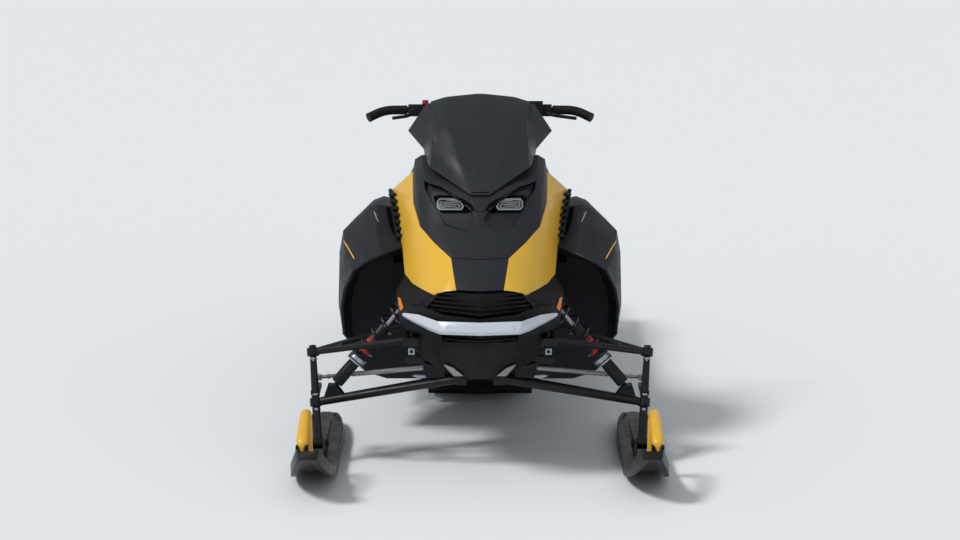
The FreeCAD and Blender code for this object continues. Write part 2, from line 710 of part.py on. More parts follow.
def solved_idler():
    """Place of the rear wheels at which the loop holds every row of lugs."""
    low, high = CARRIER_Y + IDLER_RADIUS, 2 * CARRIER_Y + 4 * IDLER_RADIUS
    for _ in range(50):
        middle = (low + high) / 2
        if loop_length(belt_path(middle)) < LUG_ROWS * PITCH:
            low = middle
        else:
            high = middle
    return low


IDLER_Y = solved_idler()
IDLER_Z = BELT_BASE + IDLER_RADIUS
ROLLERS = [260.0, 650.0]    # y of the rollers on the rails
WHEELS = [  # y, z, radius, distance of the wheel's middle from the centre plane
    (IDLER_Y, IDLER_Z, IDLER_RADIUS, INNER_WHEEL_X), (IDLER_Y, IDLER_Z, IDLER_RADIUS, OUTER_WHEEL_X),
    (CARRIER_Y, CARRIER_Z, CARRIER_RADIUS, OUTER_WHEEL_X)]
WHEELS += [(y, BELT_BASE + ROLLER_RADIUS, ROLLER_RADIUS, OUTER_WHEEL_X) for y in ROLLERS]


def belt_point(run, share, offset):
    """Point on a run at a share of its length, moved outwards from the inner line."""
    if run[0] == "arc":
        angle = run[3] - run[4] * share
        y, z = run[1]
        radius = run[2] + offset
        return V(0, y + radius * math.cos(angle), z + radius * math.sin(angle))
    (y0, z0), (y1, z1), (ny, nz) = run[1], run[2], run[3]
    return V(0, y0 + (y1 - y0) * share + ny * offset, z0 + (z1 - z0) * share + nz * offset)


def belt_edges(runs, start, end, offset):
    """Edges of the offset line between two lengths along the middle line."""
    edges = []
    total = loop_length(runs)
    position = 0.0
    for run in runs + runs:
        length = run_length(run)
        low, high = max(start, position), min(end, position + length)
        if high - low > 1e-6:
            s0, s1 = (low - position) / length, (high - position) / length
            p0, p1 = belt_point(run, s0, offset), belt_point(run, s1, offset)
            if run[0] == "arc":
                edges.append(Part.Arc(p0, belt_point(run, (s0 + s1) / 2, offset), p1).toShape())
            else:
                edges.append(Part.makeLine(p0, p1))
        position += length
        if position > total + end:
            break
    return edges


def belt_at(runs, length, offset):
    """Point outside the inner line at a length along the middle line."""
    length %= loop_length(runs)
    for run in runs:
        size = run_length(run)
        if length <= size:
            return belt_point(run, length / size, offset)
        length -= size
    return belt_point(runs[-1], 1.0, offset)


def belt_strip(runs, x0, x1, first, step):
    """Belt of one width, with a lug on every step-th row from the first."""
    outline = []
    for row in range(first, LUG_ROWS, step):
        middle = (row + 0.5) * PITCH
        following = middle + step * PITCH
        a, b = middle - LUG_BASE / 2, middle + LUG_BASE / 2
        foot_a, foot_b = belt_at(runs, a, BELT), belt_at(runs, b, BELT)
        tip = belt_at(runs, middle, BELT + LUG_HEIGHT)
        half_tip = (foot_b - foot_a).normalize() * (LUG_TIP / 2)
        points = [foot_a, tip - half_tip, tip + half_tip, foot_b]
        outline += [Part.makeLine(p, q) for p, q in zip(points, points[1:])]
        outline += belt_edges(runs, b, following - LUG_BASE / 2, BELT)
    inner = belt_edges(runs, 0, loop_length(runs), 0)
    outer_face = Part.Face(Part.Wire(Part.__sortEdges__(outline)))
    inner_face = Part.Face(Part.Wire(Part.__sortEdges__(inner)))
    strip = outer_face.cut(inner_face).extrude(V(x1 - x0, 0, 0))
    strip.translate(V(x0, 0, 0))
    return strip


def track():
    """Belt with lugs in turn at its middle and edges, and windows for the drivers' teeth."""
    runs = belt_path(IDLER_Y)
    half = TRACK_WIDTH / 2
    strips = []
    for x0, x1, first in ((-CENTRE_LUG, CENTRE_LUG, 0), (CENTRE_LUG, half, 1),
                          (-half, -CENTRE_LUG, 1)):
        strips.append(belt_strip(runs, x0, x1, first, 2))
    windows = []
    for row in range(LUG_ROWS):
        a, b = row * PITCH - WINDOW_HALF, row * PITCH + WINDOW_HALF
        corners = [belt_at(runs, a, -BELT), belt_at(runs, b, -BELT),
                   belt_at(runs, b, 2 * BELT), belt_at(runs, a, 2 * BELT)]
        outline = [(p.y, p.z) for p in corners]
        for side in (-1, 1):
            middle = side * DRIVER_X
            windows.append(prism_x(outline, middle - WINDOW_HALF_X, middle + WINDOW_HALF_X))
    return fuse(strips).cut(Part.Compound(windows))


def driver(x):
    """Toothed wheel whose teeth reach through the belt's windows."""
    start = belt_path(IDLER_Y)[0][3]
    outline = []
    for tooth in range(TEETH):
        angle = start - 2 * math.pi * tooth / TEETH
        for turn, radius in ((8.5, SPROCKET_RADIUS - FIT), (4.5, SPROCKET_RADIUS + BELT - 1),
                             (-4.5, SPROCKET_RADIUS + BELT - 1), (-8.5, SPROCKET_RADIUS - FIT),
                             (-22.5, SPROCKET_RADIUS - 4)):
            a = angle + math.radians(turn)
            outline.append((AXLE_Y + radius * math.cos(a), AXLE_Z + radius * math.sin(a)))
    return prism_x(outline, x - DRIVER_HALF, x + DRIVER_HALF)


def drive_axle():
    """Axle across the tunnel with two toothed drivers."""
    inside = TUNNEL_WIDTH / 2 - TUNNEL_WALL - FIT
    axle = rod(V(-inside, AXLE_Y, AXLE_Z), V(inside, AXLE_Y, AXLE_Z), AXLE_RADIUS)
    hubs = [bar(V(x - 3 * DRIVER_HALF, AXLE_Y, AXLE_Z), V(x + 3 * DRIVER_HALF, AXLE_Y, AXLE_Z),
                2.2 * AXLE_RADIUS) for x in (-DRIVER_X, DRIVER_X)]
    return fuse([axle, driver(-DRIVER_X), driver(DRIVER_X)] + hubs)


def tunnel():
    """Folded sheet over the track, with the holes of a rack in its rear deck."""
    half = TUNNEL_WIDTH / 2
    side = [(TUNNEL_FRONT_Y, BOARD_Z + 20), (TUNNEL_FRONT_Y, TUNNEL_TOP),
            (TUNNEL_REAR_Y, TUNNEL_TOP), (TUNNEL_REAR_Y, TUNNEL_TOP - 70),
            (BOARD_REAR_Y, BOARD_Z), (AXLE_Y + 120, BOARD_Z), (AXLE_Y - 40, BOARD_Z - 30)]
    body = prism_x(side, -half, half)
    inside = box(TUNNEL_WALL - half, half - TUNNEL_WALL, TUNNEL_FRONT_Y - 1, TUNNEL_REAR_Y + 1,
                 0, TUNNEL_TOP - TUNNEL_WALL)
    holes = [rod(V(x, y, TUNNEL_TOP - 2 * TUNNEL_WALL), V(x, y, TUNNEL_TOP + 1), DECK_HOLE)
             for x in (-DECK_HOLE_X, DECK_HOLE_X) for y in DECK_HOLE_Y]
    return body.cut(Part.Compound([inside] + holes))


def running_board():
    """Foot board with a raised edge, a lattice of openings and a loop for the toes."""
    half = TUNNEL_WIDTH / 2 + FIT
    top = BOARD_Z + BOARD_WALL
    outline = [(half, BOARD_Z), (BOARD_WIDTH, BOARD_Z), (BOARD_WIDTH, BOARD_Z + BOARD_RISE),
               (BOARD_WIDTH - BOARD_EDGE, BOARD_Z + BOARD_RISE), (BOARD_WIDTH - BOARD_EDGE, top),
               (half, top)]
    board = prism_y(outline, BOARD_FRONT_Y, BOARD_REAR_Y)
    wide, long = BOARD_SLOT
    clear = BOARD_WIDTH - BOARD_EDGE - half
    step = (BOARD_REAR_Y - BOARD_FRONT_Y) / BOARD_SLOT_ROWS
    slots = []
    for column in (1, 3):
        x = half + clear * column / 4
        for row in range(BOARD_SLOT_ROWS):
            y = BOARD_FRONT_Y + step * (row + 0.5)
            slots.append(box(x - wide / 2, x + wide / 2, y - long / 2, y + long / 2,
                             BOARD_Z - 1, top + 1))
    edge = BOARD_WIDTH - BOARD_EDGE / 2
    lift = BOARD_Z + BOARD_RISE
    path = rounded([V(edge, TOE_Y, lift - 10), V(edge, TOE_Y - 60, lift + 110),
                    V(half + TOE_TUBE, TOE_Y - 120, lift + 130), V(half + TOE_TUBE, TOE_Y - 30, lift - 40)],
                   30)
    return fuse([board.cut(Part.Compound(slots)), mitred(path, TOE_TUBE, COARSE)])


def slide_rail(x):
    """Slotted rail turned up along the belt's front bend."""
    base = BELT_BASE + FIT
    centre = V(0, FRONT_BEND_Y, BELT_BASE + FRONT_BEND_RADIUS)
    radius = FRONT_BEND_RADIUS - FIT
    sweep = math.radians(RAIL_SWEEP)

    def at(r, angle):
        return centre + V(0, -r * math.sin(angle), -r * math.cos(angle))

    inner = radius - RAIL_HEIGHT
    drop = IDLER_Z - 20
    tail = [V(0, IDLER_Y - 60, base), V(0, IDLER_Y - 20, base + 12), V(0, IDLER_Y + 30, drop),
            V(0, IDLER_Y + 30, drop + 48), V(0, IDLER_Y - 30, drop + 48),
            V(0, IDLER_Y - 110, at(inner, 0).z)]
    edges = [Part.makeLine(tail[0], at(radius, 0)),
             Part.Arc(at(radius, 0), at(radius, sweep / 2), at(radius, sweep)).toShape(),
             Part.makeLine(at(radius, sweep), at(inner, sweep)),
             Part.Arc(at(inner, sweep), at(inner, sweep / 2), at(inner, 0)).toShape(),
             Part.makeLine(at(inner, 0), tail[-1])]
    edges += [Part.makeLine(p, q) for p, q in zip(tail, tail[1:])]
    rail = Part.Face(Part.Wire(Part.__sortEdges__(edges))).extrude(V(RAIL_WALL, 0, 0))
    rail.translate(V(x - RAIL_WALL / 2, 0, 0))
    shafts = [(IDLER_Y, IDLER_Z)] + [(y, BELT_BASE + ROLLER_RADIUS) for y in ROLLERS]
    cuts = [rod(V(0, y, z), V(2 * x, y, z), SKID_SHAFT + FIT) for y, z in shafts]
    long, high = RAIL_SLOT
    middle = base + RAIL_HEIGHT / 2
    for y in RAIL_SLOTS:
        cuts.append(prism_x([(y - long / 2, middle - high / 2), (y + long / 2, middle - high / 2),
                             (y + long / 2 - 14, middle + high / 2),
                             (y - long / 2 + 14, middle + high / 2)], 0, 2 * x))
    return rail.cut(Part.Compound(cuts))


def column_axis():
    """Upward direction of the steering column."""
    lean = math.radians(COLUMN_LEAN)
    return V(0, math.sin(lean), math.cos(lean))


def column_point(distance):
    """Point down the column from the handlebar."""
    return COLUMN_TOP - column_axis() * distance


# Panels as half rows of (x, y, z), from the centre plane or the inner edge outwards
BELLY = [
    [(0, -1142, 322), (45, -1142, 322), (125, -1112, 345), (175, -1085, 372), (246, -1050, 428)],
    [(0, -1200, 380), (60, -1195, 382), (150, -1150, 405), (205, -1115, 432), (256, -1055, 462)],
    [(0, -1265, 450), (90, -1250, 452), (165, -1190, 465), (222, -1125, 485), (264, -1050, 505)],
    [(0, -1292, 505), (110, -1275, 508), (180, -1200, 517), (232, -1125, 530), (270, -1042, 545)],
    [(0, -1298, 556), (120, -1262, 564), (174, -1192, 571), (232, -1110, 576), (274, -1035, 580)],
]
NOSE_FLANK = [
    [(174, -1192, 571.5), (190, -1170, 572), (232, -1110, 576.5), (274, -1035, 580.5), (277, -990, 583)],
    [(130, -1222, 629), (149, -1188, 611), (184, -1110, 610), (221, -1010, 610), (249, -905, 621)],
]
NOSE_TOP = [
    [(0, -1241, 637), (76, -1236, 641)],
    [(0, -1186, 678), (85, -1176, 681)],
    [(0, -1130, 718), (93, -1119, 720)],
]
ACCENT = [
    [(77, -1236, 641), (110, -1227, 638), (129, -1223, 633)],
    [(86, -1176, 681), (143, -1187, 619), (150, -1188, 614)],
    [(94, -1119, 720), (160, -1110, 668), (185, -1110, 614)],
    [(150, -1020, 752), (177, -1015, 722), (222, -1010, 614)],
    [(199, -915, 786), (208, -915, 760), (250, -905, 625)],
    [(224, -790, 843), (232, -790, 820), (261, -775, 688)],
    [(228, -700, 905), (240, -690, 880), (281, -670, 745)],
    [(228, -640, 925), (262, -600, 890), (298, -560, 851)],
]
HOOD = [
    [(0, -1129, 719.5), (60, -1122, 721), (78, -1120, 721.3), (93.5, -1118, 721.5)],
    [(0, -1010, 795), (75, -1015, 788), (126, -1019, 766), (149, -1019, 753.5)],
    [(0, -958, 840), (115, -952, 812), (172, -930, 801), (198, -914, 788)],
    [(0, -885, 884), (160, -860, 905), (203, -820, 882), (223, -789, 845)],
    [(0, -800, 945), (188, -785, 943), (217, -738, 931), (227, -699, 907)],
    [(0, -690, 992), (196, -690, 990), (219, -662, 972), (227, -640, 928)],
]
EYE = [  # outline of a lamp pocket from the front
    (190, 924), (186, 898), (134, 822), (117, 796), (40, 786), (21, 804), (8, 822), (24, 842), (130, 912)]
LENS = [(52, 852), (60, 841), (134, 841), (143, 849), (143, 866), (134, 875), (86, 875), (62, 864)]
CONSOLE = [
    [(0, -689, 992), (150, -689, 991), (197, -688, 989), (220, -660, 971), (228, -638, 928),
     (262, -598, 885)],
    [(0, -560, 975), (120, -560, 973), (185, -560, 962), (218, -560, 948), (240, -550, 900),
     (285, -540, 850)],
    [(0, -430, 920), (90, -430, 918), (150, -430, 895), (190, -430, 865), (225, -430, 830),
     (275, -430, 770)],
    [(0, -342, 880), (80, -342, 875), (140, -342, 850), (170, -342, 820), (200, -342, 780),
     (240, -342, 700)],
]
SHIELD = [
    [(0, -890, 889), (32, -888, 889), (110, -845, 930), (162, -810, 965)],
    [(0, -790, 985), (55, -787, 987), (115, -765, 1005), (160, -735, 1033)],
    [(0, -700, 1068), (60, -698, 1068), (115, -685, 1075), (156, -665, 1098)],
    [(0, -612, 1145), (60, -611, 1145), (110, -607, 1144), (148, -600, 1143)],
    [(0, -560, 1182), (60, -560, 1181), (110, -562, 1172), (148, -565, 1158)],
]
WING = [
    [(163, -808, 965), (170, -790, 968), (186, -700, 985)],
    [(161, -734, 1033), (172, -690, 1025), (191, -640, 1002)],
    [(157, -664, 1098), (190, -610, 1075), (246, -560, 1053)],
    [(149, -599, 1143), (168, -572, 1150), (184, -556, 1146)],
]
POD = [
    [(263, -775, 688), (330, -840, 674), (389, -860, 649), (424, -830, 619), (458, -770, 540),
     (470, -720, 470), (468, -650, 360), (430, -610, 297)],
    [(283, -672, 745), (350, -735, 742), (398, -745, 716), (452, -740, 655), (478, -700, 560),
     (484, -660, 465), (474, -600, 352), (432, -585, 294)],
    [(291, -614, 797), (350, -620, 808), (378, -620, 795), (468, -620, 717), (482, -610, 640),
     (488, -590, 470), (472, -560, 345), (432, -560, 292)],
    [(300, -450, 800), (335, -440, 805), (370, -430, 790), (440, -420, 720), (455, -420, 640),
     (462, -420, 480), (455, -420, 340), (425, -430, 304)],
    [(246, -345, 695), (290, -345, 690), (320, -345, 660), (350, -345, 600), (370, -345, 520),
     (380, -345, 430), (385, -345, 350), (370, -345, 322)],
]
ARCH_Y = -600.0
ARCH = [
    [(230, ARCH_Y, 640), (300, ARCH_Y, 620), (360, ARCH_Y, 610), (400, ARCH_Y, 585),
     (432, ARCH_Y, 520), (444, ARCH_Y, 450), (440, ARCH_Y, 362), (414, ARCH_Y, 300)],
    [(263, -775, 688), (330, -840, 674), (389, -860, 649), (424, -830, 619), (458, -770, 540),
     (470, -720, 470), (468, -650, 360), (430, -610, 297)],
]
UNDER = [
    [(FRAME_HALF + 1, -598, 195), (322, -598, 195), (389, -598, 216), (413, -598, 234), (437, -598, 292)],
    [(FRAME_HALF + 1, -480, 228), (318, -480, 230), (372, -480, 244), (404, -480, 263), (430, -480, 298)],
    [(FRAME_HALF + 1, -358, 280), (300, -358, 281), (332, -358, 288), (356, -358, 298), (380, -358, 314)],
]
ARCH_WALL = [(FRAME_HALF + FIT, 645), (300, 622), (360, 612), (402, 588), (436, 520), (448, 450),
             (446, 360), (438, 292), (413, 231), (389, 213), (322, 192), (FRAME_HALF + FIT, 192)]
VENT_START = V(270.0, -738.0, 714.0)
VENT_END = V(302.0, -570.0, 848.0)
VENT_FINS = 7
VENT_FIN = (24.0, 46.0, 9.0)        # across, along, high
NOSE_SLATS = [  # height, half width, y of the ends, y of the middle
    (569, 165, -1200, -1290), (583, 158, -1203, -1280), (597, 149, -1208, -1270),
    (611, 140, -1212, -1260), (625, 129, -1218, -1250)]
BELLY_SLATS = [(480, 112, -1243, -1292), (490, 116, -1246, -1294)]
SLAT = 6.0
SLAT_DEEP = 20.0
INTAKE = [(-120, 474), (-126, 499), (126, 499), (120, 474)]   # opening in the belly, from the front
CASTING = [(54, 338), (86, 330), (119, 375), (88, 368)]       # from the front
BUMPER = [
    [(0, -1322, 509), (128, -1294, 507), (159, -1254, 509), (206, -1184, 517), (243, -1123, 523),
     (253, -1101, 526)],
    [(0, -1336, 522), (124, -1308, 521), (160, -1266, 522), (208, -1191, 527), (245, -1127, 530),
     (254, -1102, 530)],
    [(0, -1326, 553), (134, -1290, 549), (152, -1262, 549), (198, -1191, 549), (240, -1130, 541),
     (253, -1105, 534)],
]
BUMPER_WALL = 8.0
MARKER = [(269, 576), (260, 576), (249, 549), (261, 533), (267, 556)]     # from the front
MARKER_DEPTH = 3.0
CASTING_WALL = 7.0


def front_frame():
    """Floor, cheeks and front wall of the engine bay with every pivot of the front end."""
    half, wall = FRAME_HALF, FRAME_WALL
    rear = TUNNEL_FRONT_Y
    nose_x, nose_y = FRAME_NOSE
    plan = [(-nose_x, nose_y), (nose_x, nose_y), (120, -1095), (half, -1000),
            (half, rear), (-half, rear), (-half, -1000), (-120, -1095)]
    pieces = [prism_z(plan, FRAME_FLOOR_Z, FRAME_FLOOR_Z + wall)]
    pieces.append(box(-half, half, FRAME_FRONT_Y, FRAME_FRONT_Y + wall, FRAME_FLOOR_Z, FRAME_TOP_Z))
    pivot_x = LOWER_FRONT.x
    pivot = (LOWER_REAR - LOWER_FRONT).normalize()
    boss = ARM_BOSS_LENGTH / 2 + FIT
    rooms, pins = [], []
    reach = V(0, boss + BRACKET, 0)
    shock_reach = V(0, SHOCK_EYE + FIT + 2 * BRACKET, 0)
    lug = ARM_BOSS - 2
    crown = column_point(BEARING_DOWN)
    for side in (-1, 1):
        pieces.append(box(side * half, side * (half - wall), FRAME_FRONT_Y, rear,
                          FRAME_FLOOR_Z, FRAME_TOP_Z))
        front, back = sided(LOWER_FRONT, side), sided(LOWER_REAR, side)
        pins.append(rod(front - pivot * (boss + BRACKET), back + pivot * (boss + BRACKET), PIVOT_ROD))
        rooms += [rod(p - pivot * boss, p + pivot * boss, ARM_BOSS + 2) for p in (front, back)]
        for p in (LOWER_FRONT, LOWER_REAR):
            for low in (p.y - boss - BRACKET, p.y + boss):
                pieces.append(box(side * (pivot_x - 2 * lug), side * (pivot_x + lug), low, low + BRACKET,
                                  p.z - lug, FRAME_FLOOR_Z + 1))
        pieces.append(rod(sided(UPPER_FRONT, side) - reach, sided(UPPER_REAR, side) + reach, PIVOT_ROD))
        for y in (FRAME_FRONT_Y + BRACKET, UPPER_REAR.y - boss - BRACKET):
            pieces.append(box(side * (half - wall), side * (UPPER_FRONT.x + lug), y - BRACKET,
                              y + BRACKET, UPPER_FRONT.z - lug, UPPER_FRONT.z + lug))
        front = UPPER_FRONT.y - boss - BRACKET
        pieces.append(box(side * (half - wall), side * (UPPER_FRONT.x + lug), front, front + BRACKET,
                          UPPER_FRONT.z - lug, UPPER_FRONT.z + lug))
        pieces.append(box(side * (half - wall), side * (UPPER_FRONT.x - ARM_BOSS - 3), front,
                          FRAME_FRONT_Y + wall, UPPER_FRONT.z - lug / 2, UPPER_FRONT.z + lug / 2))
        for low in (SHOCK_TOP.y - SHOCK_EYE - FIT - BRACKET, SHOCK_TOP.y + SHOCK_EYE + FIT):
            pieces.append(box(side * (half - wall), side * (SHOCK_TOP.x + lug), low, low + BRACKET,
                              SHOCK_TOP.z - lug, SHOCK_TOP.z + 1.5 * lug))
        top = sided(SHOCK_TOP, side)
        pieces.append(rod(top - shock_reach, top + shock_reach, SHOCK_BOLT))
        block = box(BUSHING_X[0], BUSHING_X[1], TIE_OUT.y - 18, TIE_OUT.y + 18,
                    TIE_IN.z - 23, FRAME_FLOOR_Z + 1)
        block = block.cut(rod(along(TIE_IN, TIE_OUT, -40), TIE_OUT, TIE_ROD + FIT))
        pieces.append(mirror(block) if side < 0 else block)
        foot = V(side * (half - 1.2 * FRAME_TUBE), -940, FRAME_TOP_Z - 10)
        head = crown + V(side * 34, 0, 0)
        pieces.append(bar(foot, head, FRAME_TUBE * 0.6, COARSE))
        pieces.append(bar(foot - V(0, 0, FRAME_TUBE), foot + V(0, 0, 10), FRAME_TUBE * 0.9, COARSE))
        pieces.append(box(side * (half - 2 * FRAME_TUBE), side * (half - wall), foot.y - FRAME_TUBE,
                          foot.y + FRAME_TUBE, foot.z - FRAME_TUBE, foot.z))
        rear_foot = V(side * 120, rear + 60, TUNNEL_TOP + 14)
        pieces.append(bar(rear_foot, head, FRAME_TUBE * 0.6, COARSE))
        pieces.append(box(rear_foot.x - FRAME_TUBE, rear_foot.x + FRAME_TUBE, rear_foot.y - FRAME_TUBE,
                          rear_foot.y + FRAME_TUBE, TUNNEL_TOP + FIT, rear_foot.z + 2))
    half_bearing = column_axis() * BEARING_HALF
    pieces.append(bar(crown - half_bearing, crown + half_bearing, BEARING_RADIUS))
    notches = Part.Compound([arm_notch(FIT), mirror(arm_notch(FIT))])
    rooms += [casting(FIT), mirror(casting(FIT)), fat(whole_rows(BELLY)).cut(notches)]
    body = fuse(pieces).cut(Part.Compound(rooms))
    body = fuse([body] + pins)
    return body.cut(rod(crown - half_bearing * 4, crown + half_bearing * 4, COLUMN_RADIUS + FIT))


def engine():
    """Engine and its gearbox as one block on the frame's floor."""
    half = FRAME_HALF - FRAME_WALL - 20
    return box(-half, half, -850, TUNNEL_FRONT_Y - 20, FRAME_FLOOR_Z + FRAME_WALL, FRAME_TOP_Z - 15)


def grown(outline, gap):
    """Outline of (x, z) points with every point moved away from the middle."""
    middle = V(0, 0, 0)
    for x, z in outline:
        middle = middle + V(x, 0, z) * (1 / len(outline))
    moved = [V(x, 0, z) + (V(x, 0, z) - middle).normalize() * gap for x, z in outline]
    return [(p.x, p.z) for p in moved]


def marker(gap):
    """Left side marker in the belly's flank, grown by a gap."""
    band = layer(whole_rows(BELLY), -MARKER_DEPTH - gap, MARKER_DEPTH + gap)
    return prism_y(grown(MARKER, gap), -1110, -1010).common(band)


def arm_notch(gap):
    """Space in the left flank for the upper arm's front pivot, made smaller by a gap."""
    return box(190 + gap, 300 - gap, UPPER_FRONT.y - 50 + gap, -1030 - gap,
               UPPER_FRONT.z - 31 + gap, UPPER_FRONT.z + 32 - gap)


def belly_pan():
    """Lower nose with an intake, a notch for each upper arm and a seat for each marker."""
    notch = arm_notch(0)
    seat_cut = marker(FIT)
    cuts = [notch, mirror(notch), seat_cut, mirror(seat_cut), prism_y(INTAKE, -1400, -1150)]
    body = trimmed(sheet(whole_rows(BELLY)), cuts)
    flank = trimmed(sheet(NOSE_FLANK), [fat(whole_rows(BELLY))] + cuts)
    return Part.Compound([body, flank, mirror(flank)])


def casting(gap):
    """Left casting on the belly above the lower arm's front pivot, grown by a gap."""
    band = layer(whole_rows(BELLY), FIT - gap, CASTING_WALL + gap)
    return prism_y(grown(CASTING, gap), -1250, -1050).common(band)


def castings():
    """Both bright castings."""
    return both(casting(0))


def hood():
    """Upper nose with a deep pocket for each lamp."""
    rows = whole_rows(HOOD)
    shell = sheet(rows)
    outer = prism_y(EYE, -1100, -700)
    inner = prism_y(grown(EYE, -EYE_LIP), -1100, -700)
    deep = layer(rows, -EYE_DEPTH - PANEL, -1)
    hollow = layer(rows, -EYE_DEPTH, 5)
    walls = Part.Compound([outer, mirror(outer)]).common(deep)
    cuts = Part.Compound([inner, mirror(inner)]).common(hollow)
    return trimmed(fuse([shell] + walls.Solids), [cuts])


def headlights():
    """A lens on the floor of each pocket."""
    band = layer(whole_rows(HOOD), -EYE_DEPTH + FIT, -LENS_DEPTH)
    return both(prism_y(LENS, -1100, -700).common(band))


def side_panel():
    """Bulging panel with vent fins, the arch under its lip and the arch's rear wall."""
    wall = prism_y(ARCH_WALL, ARCH_Y, ARCH_Y + PANEL)
    across_fin, along_fin, high_fin = VENT_FIN
    fins = [bar(VENT_START + V(6, 8, 0), VENT_END + V(6, 8, 0), 7, COARSE)]
    for k in range(VENT_FINS):
        c = between(VENT_START, VENT_END, (k + 0.5) / VENT_FINS)
        fins.append(box(c.x - across_fin / 2, c.x + across_fin / 2, c.y - along_fin / 2,
                        c.y + along_fin / 2, c.z - high_fin / 2, c.z + high_fin / 2))
    fins = fuse(fins)
    body = fuse([sheet(POD), sheet(ARCH), wall, sheet(UNDER), fins])
    return trimmed(body, [fat(ACCENT)])


def console():
    """Cover round the steering column."""
    hole = rod(column_point(BEARING_DOWN) - column_axis() * 60, column_point(0),
               COLUMN_RADIUS + MOVING)
    body = sheet(whole_rows(CONSOLE))
    accent = fat(ACCENT)
    return trimmed(body, [hole, fat(whole_rows(HOOD)), accent, mirror(accent)])


def gauge():
    """Display pod on the console in front of the column."""
    plan = [(-78, -585), (78, -585), (60, -500), (-60, -500)]
    base = prism_z(plan, 900, 1100).common(layer(whole_rows(CONSOLE), FIT, 26))
    cap_plan = [(-60, -570), (60, -570), (48, -512), (-48, -512)]
    cap = prism_z(cap_plan, 900, 1100).common(layer(whole_rows(CONSOLE), 20, 38))
    return fuse([base, cap])


def bumper():
    """Beam in front of the nose with a crease along its middle, on two studs."""
    beam = layer(whole_rows(BUMPER), -BUMPER_WALL, 0)
    studs = [bar(V(x, -1310, 530), V(x, -1262, 530), 12, COARSE) for x in (-100, 100)]
    return trimmed(fuse([beam] + studs), [fat(whole_rows(BELLY))])


def slat(row):
    """One slat, bent back to both sides from the middle."""
    z, half, y_end, y_middle = row
    plan = [(-half, y_end), (0, y_middle), (half, y_end), (half, y_end + SLAT_DEEP),
            (0, y_middle + SLAT_DEEP), (-half, y_end + SLAT_DEEP)]
    return prism_z(plan, z - SLAT / 2, z + SLAT / 2)


def grille():
    """Upper and lower slats, each group on a back plate."""
    flank = fat(NOSE_FLANK)
    accent = fat(ACCENT)
    nose = fat(whole_rows(NOSE_TOP))
    groups = []
    for rows, low, high in ((NOSE_SLATS, 566, 630), (BELLY_SLATS, INTAKE[0][1] + FIT, INTAKE[1][1] - FIT)):
        _, half, y_end, y_middle = rows[0]
        back = y_end + SLAT_DEEP
        plan = [(-half, back), (0, y_middle + SLAT_DEEP), (half, back), (half, back + PANEL),
                (0, y_middle + SLAT_DEEP + PANEL), (-half, back + PANEL)]
        top_half = rows[-1][1]
        board = prism_z(plan, low, high).common(
            prism_y([(-half, low), (half, low), (top_half, high), (-top_half, high)], -1400, -1100))
        groups.append(fuse([slat(row) for row in rows] + [board]))
    upper = trimmed(groups[0], [fat(whole_rows(BELLY)), nose, flank, mirror(flank), accent,
                                mirror(accent)])
    (x0, z0), (x1, z1) = INTAKE[0], INTAKE[1]
    window = [(x0 + FIT, z0 + FIT), (x1 + FIT, z1 - FIT), (-x1 - FIT, z1 - FIT), (-x0 - FIT, z0 + FIT)]
    frame = layer(whole_rows(BELLY), -2 * SLAT_DEEP, FIT).common(prism_y(window, -1400, -1150))
    lower = trimmed(groups[1].common(frame), [box(-300, 300, -1200, -1150, 400, 700)])
    return Part.Compound([upper, lower])


def handlebar():
    """Column, clamp and a bar with a rise on both sides."""
    column = rod(column_point(BEARING_DOWN + 40), column_point(-20), COLUMN_RADIUS)
    y, z = COLUMN_TOP.y, COLUMN_TOP.z
    clamp = prism_x([(y - 24, z - 22), (y + 24, z - 22), (y + 20, z + 20), (y - 20, z + 20)], -46, 46)
    high = z + BAR_RISE
    points = [V(-GRIP_START, y, high), V(-150, y, high), V(-90, y, z + 2), V(90, y, z + 2),
              V(150, y, high), V(GRIP_START, y, high)]
    return fuse([column, clamp, mitred(rounded(points, 60), BAR_RADIUS)])


def grips():
    """Grips with hooked ends."""
    y, z = COLUMN_TOP.y, COLUMN_TOP.z + BAR_RISE
    points = [V(GRIP_START + FIT, y, z), V(332, y, z), V(386, y - 34, z - 22)]
    return both(mitred(rounded(points, 40), GRIP_RADIUS))


def controls():
    """Throttle block on the rider's right, brake lever on the rider's left."""
    y, z = COLUMN_TOP.y, COLUMN_TOP.z + BAR_RISE
    bore = rod(V(-400, y, z), V(400, y, z), BAR_RADIUS + FIT)
    profile = [(y - 26, z - 14), (y - 10, z - 21), (y + 16, z - 19), (y + 22, z - 4), (y + 18, z + 18),
               (y - 18, z + 21)]
    block = prism_x(profile, -SWITCH_X - SWITCH_HALF, -BUTTON_X + 18)
    perch = prism_x(profile, SWITCH_X - SWITCH_HALF, SWITCH_X + SWITCH_HALF)
    reservoir = prism_x([(y - 34, z - 2), (y + 12, z - 2), (y + 10, z + 30), (y - 30, z + 36)],
                        *RESERVOIR_X)
    button = bar(V(-BUTTON_X, y, z + 18), V(-BUTTON_X, y, z + 34), 10, FINE)
    lever = mitred(rounded([V(SWITCH_X, y - 20, z - 8), V(SWITCH_X + 34, y - 54, z - 12),
                            V(SWITCH_X + 106, y - 52, z - 22)], 16), LEVER, COARSE)
    thumb = mitred(rounded([V(-SWITCH_X, y - 18, z - 10), V(-SWITCH_X - 30, y - 44, z - 16),
                            V(-SWITCH_X - 76, y - 46, z - 22)], 16), LEVER, COARSE)
    return Part.Compound([fuse([block, button, thumb]).cut(bore), fuse([perch, reservoir, lever]).cut(bore)])


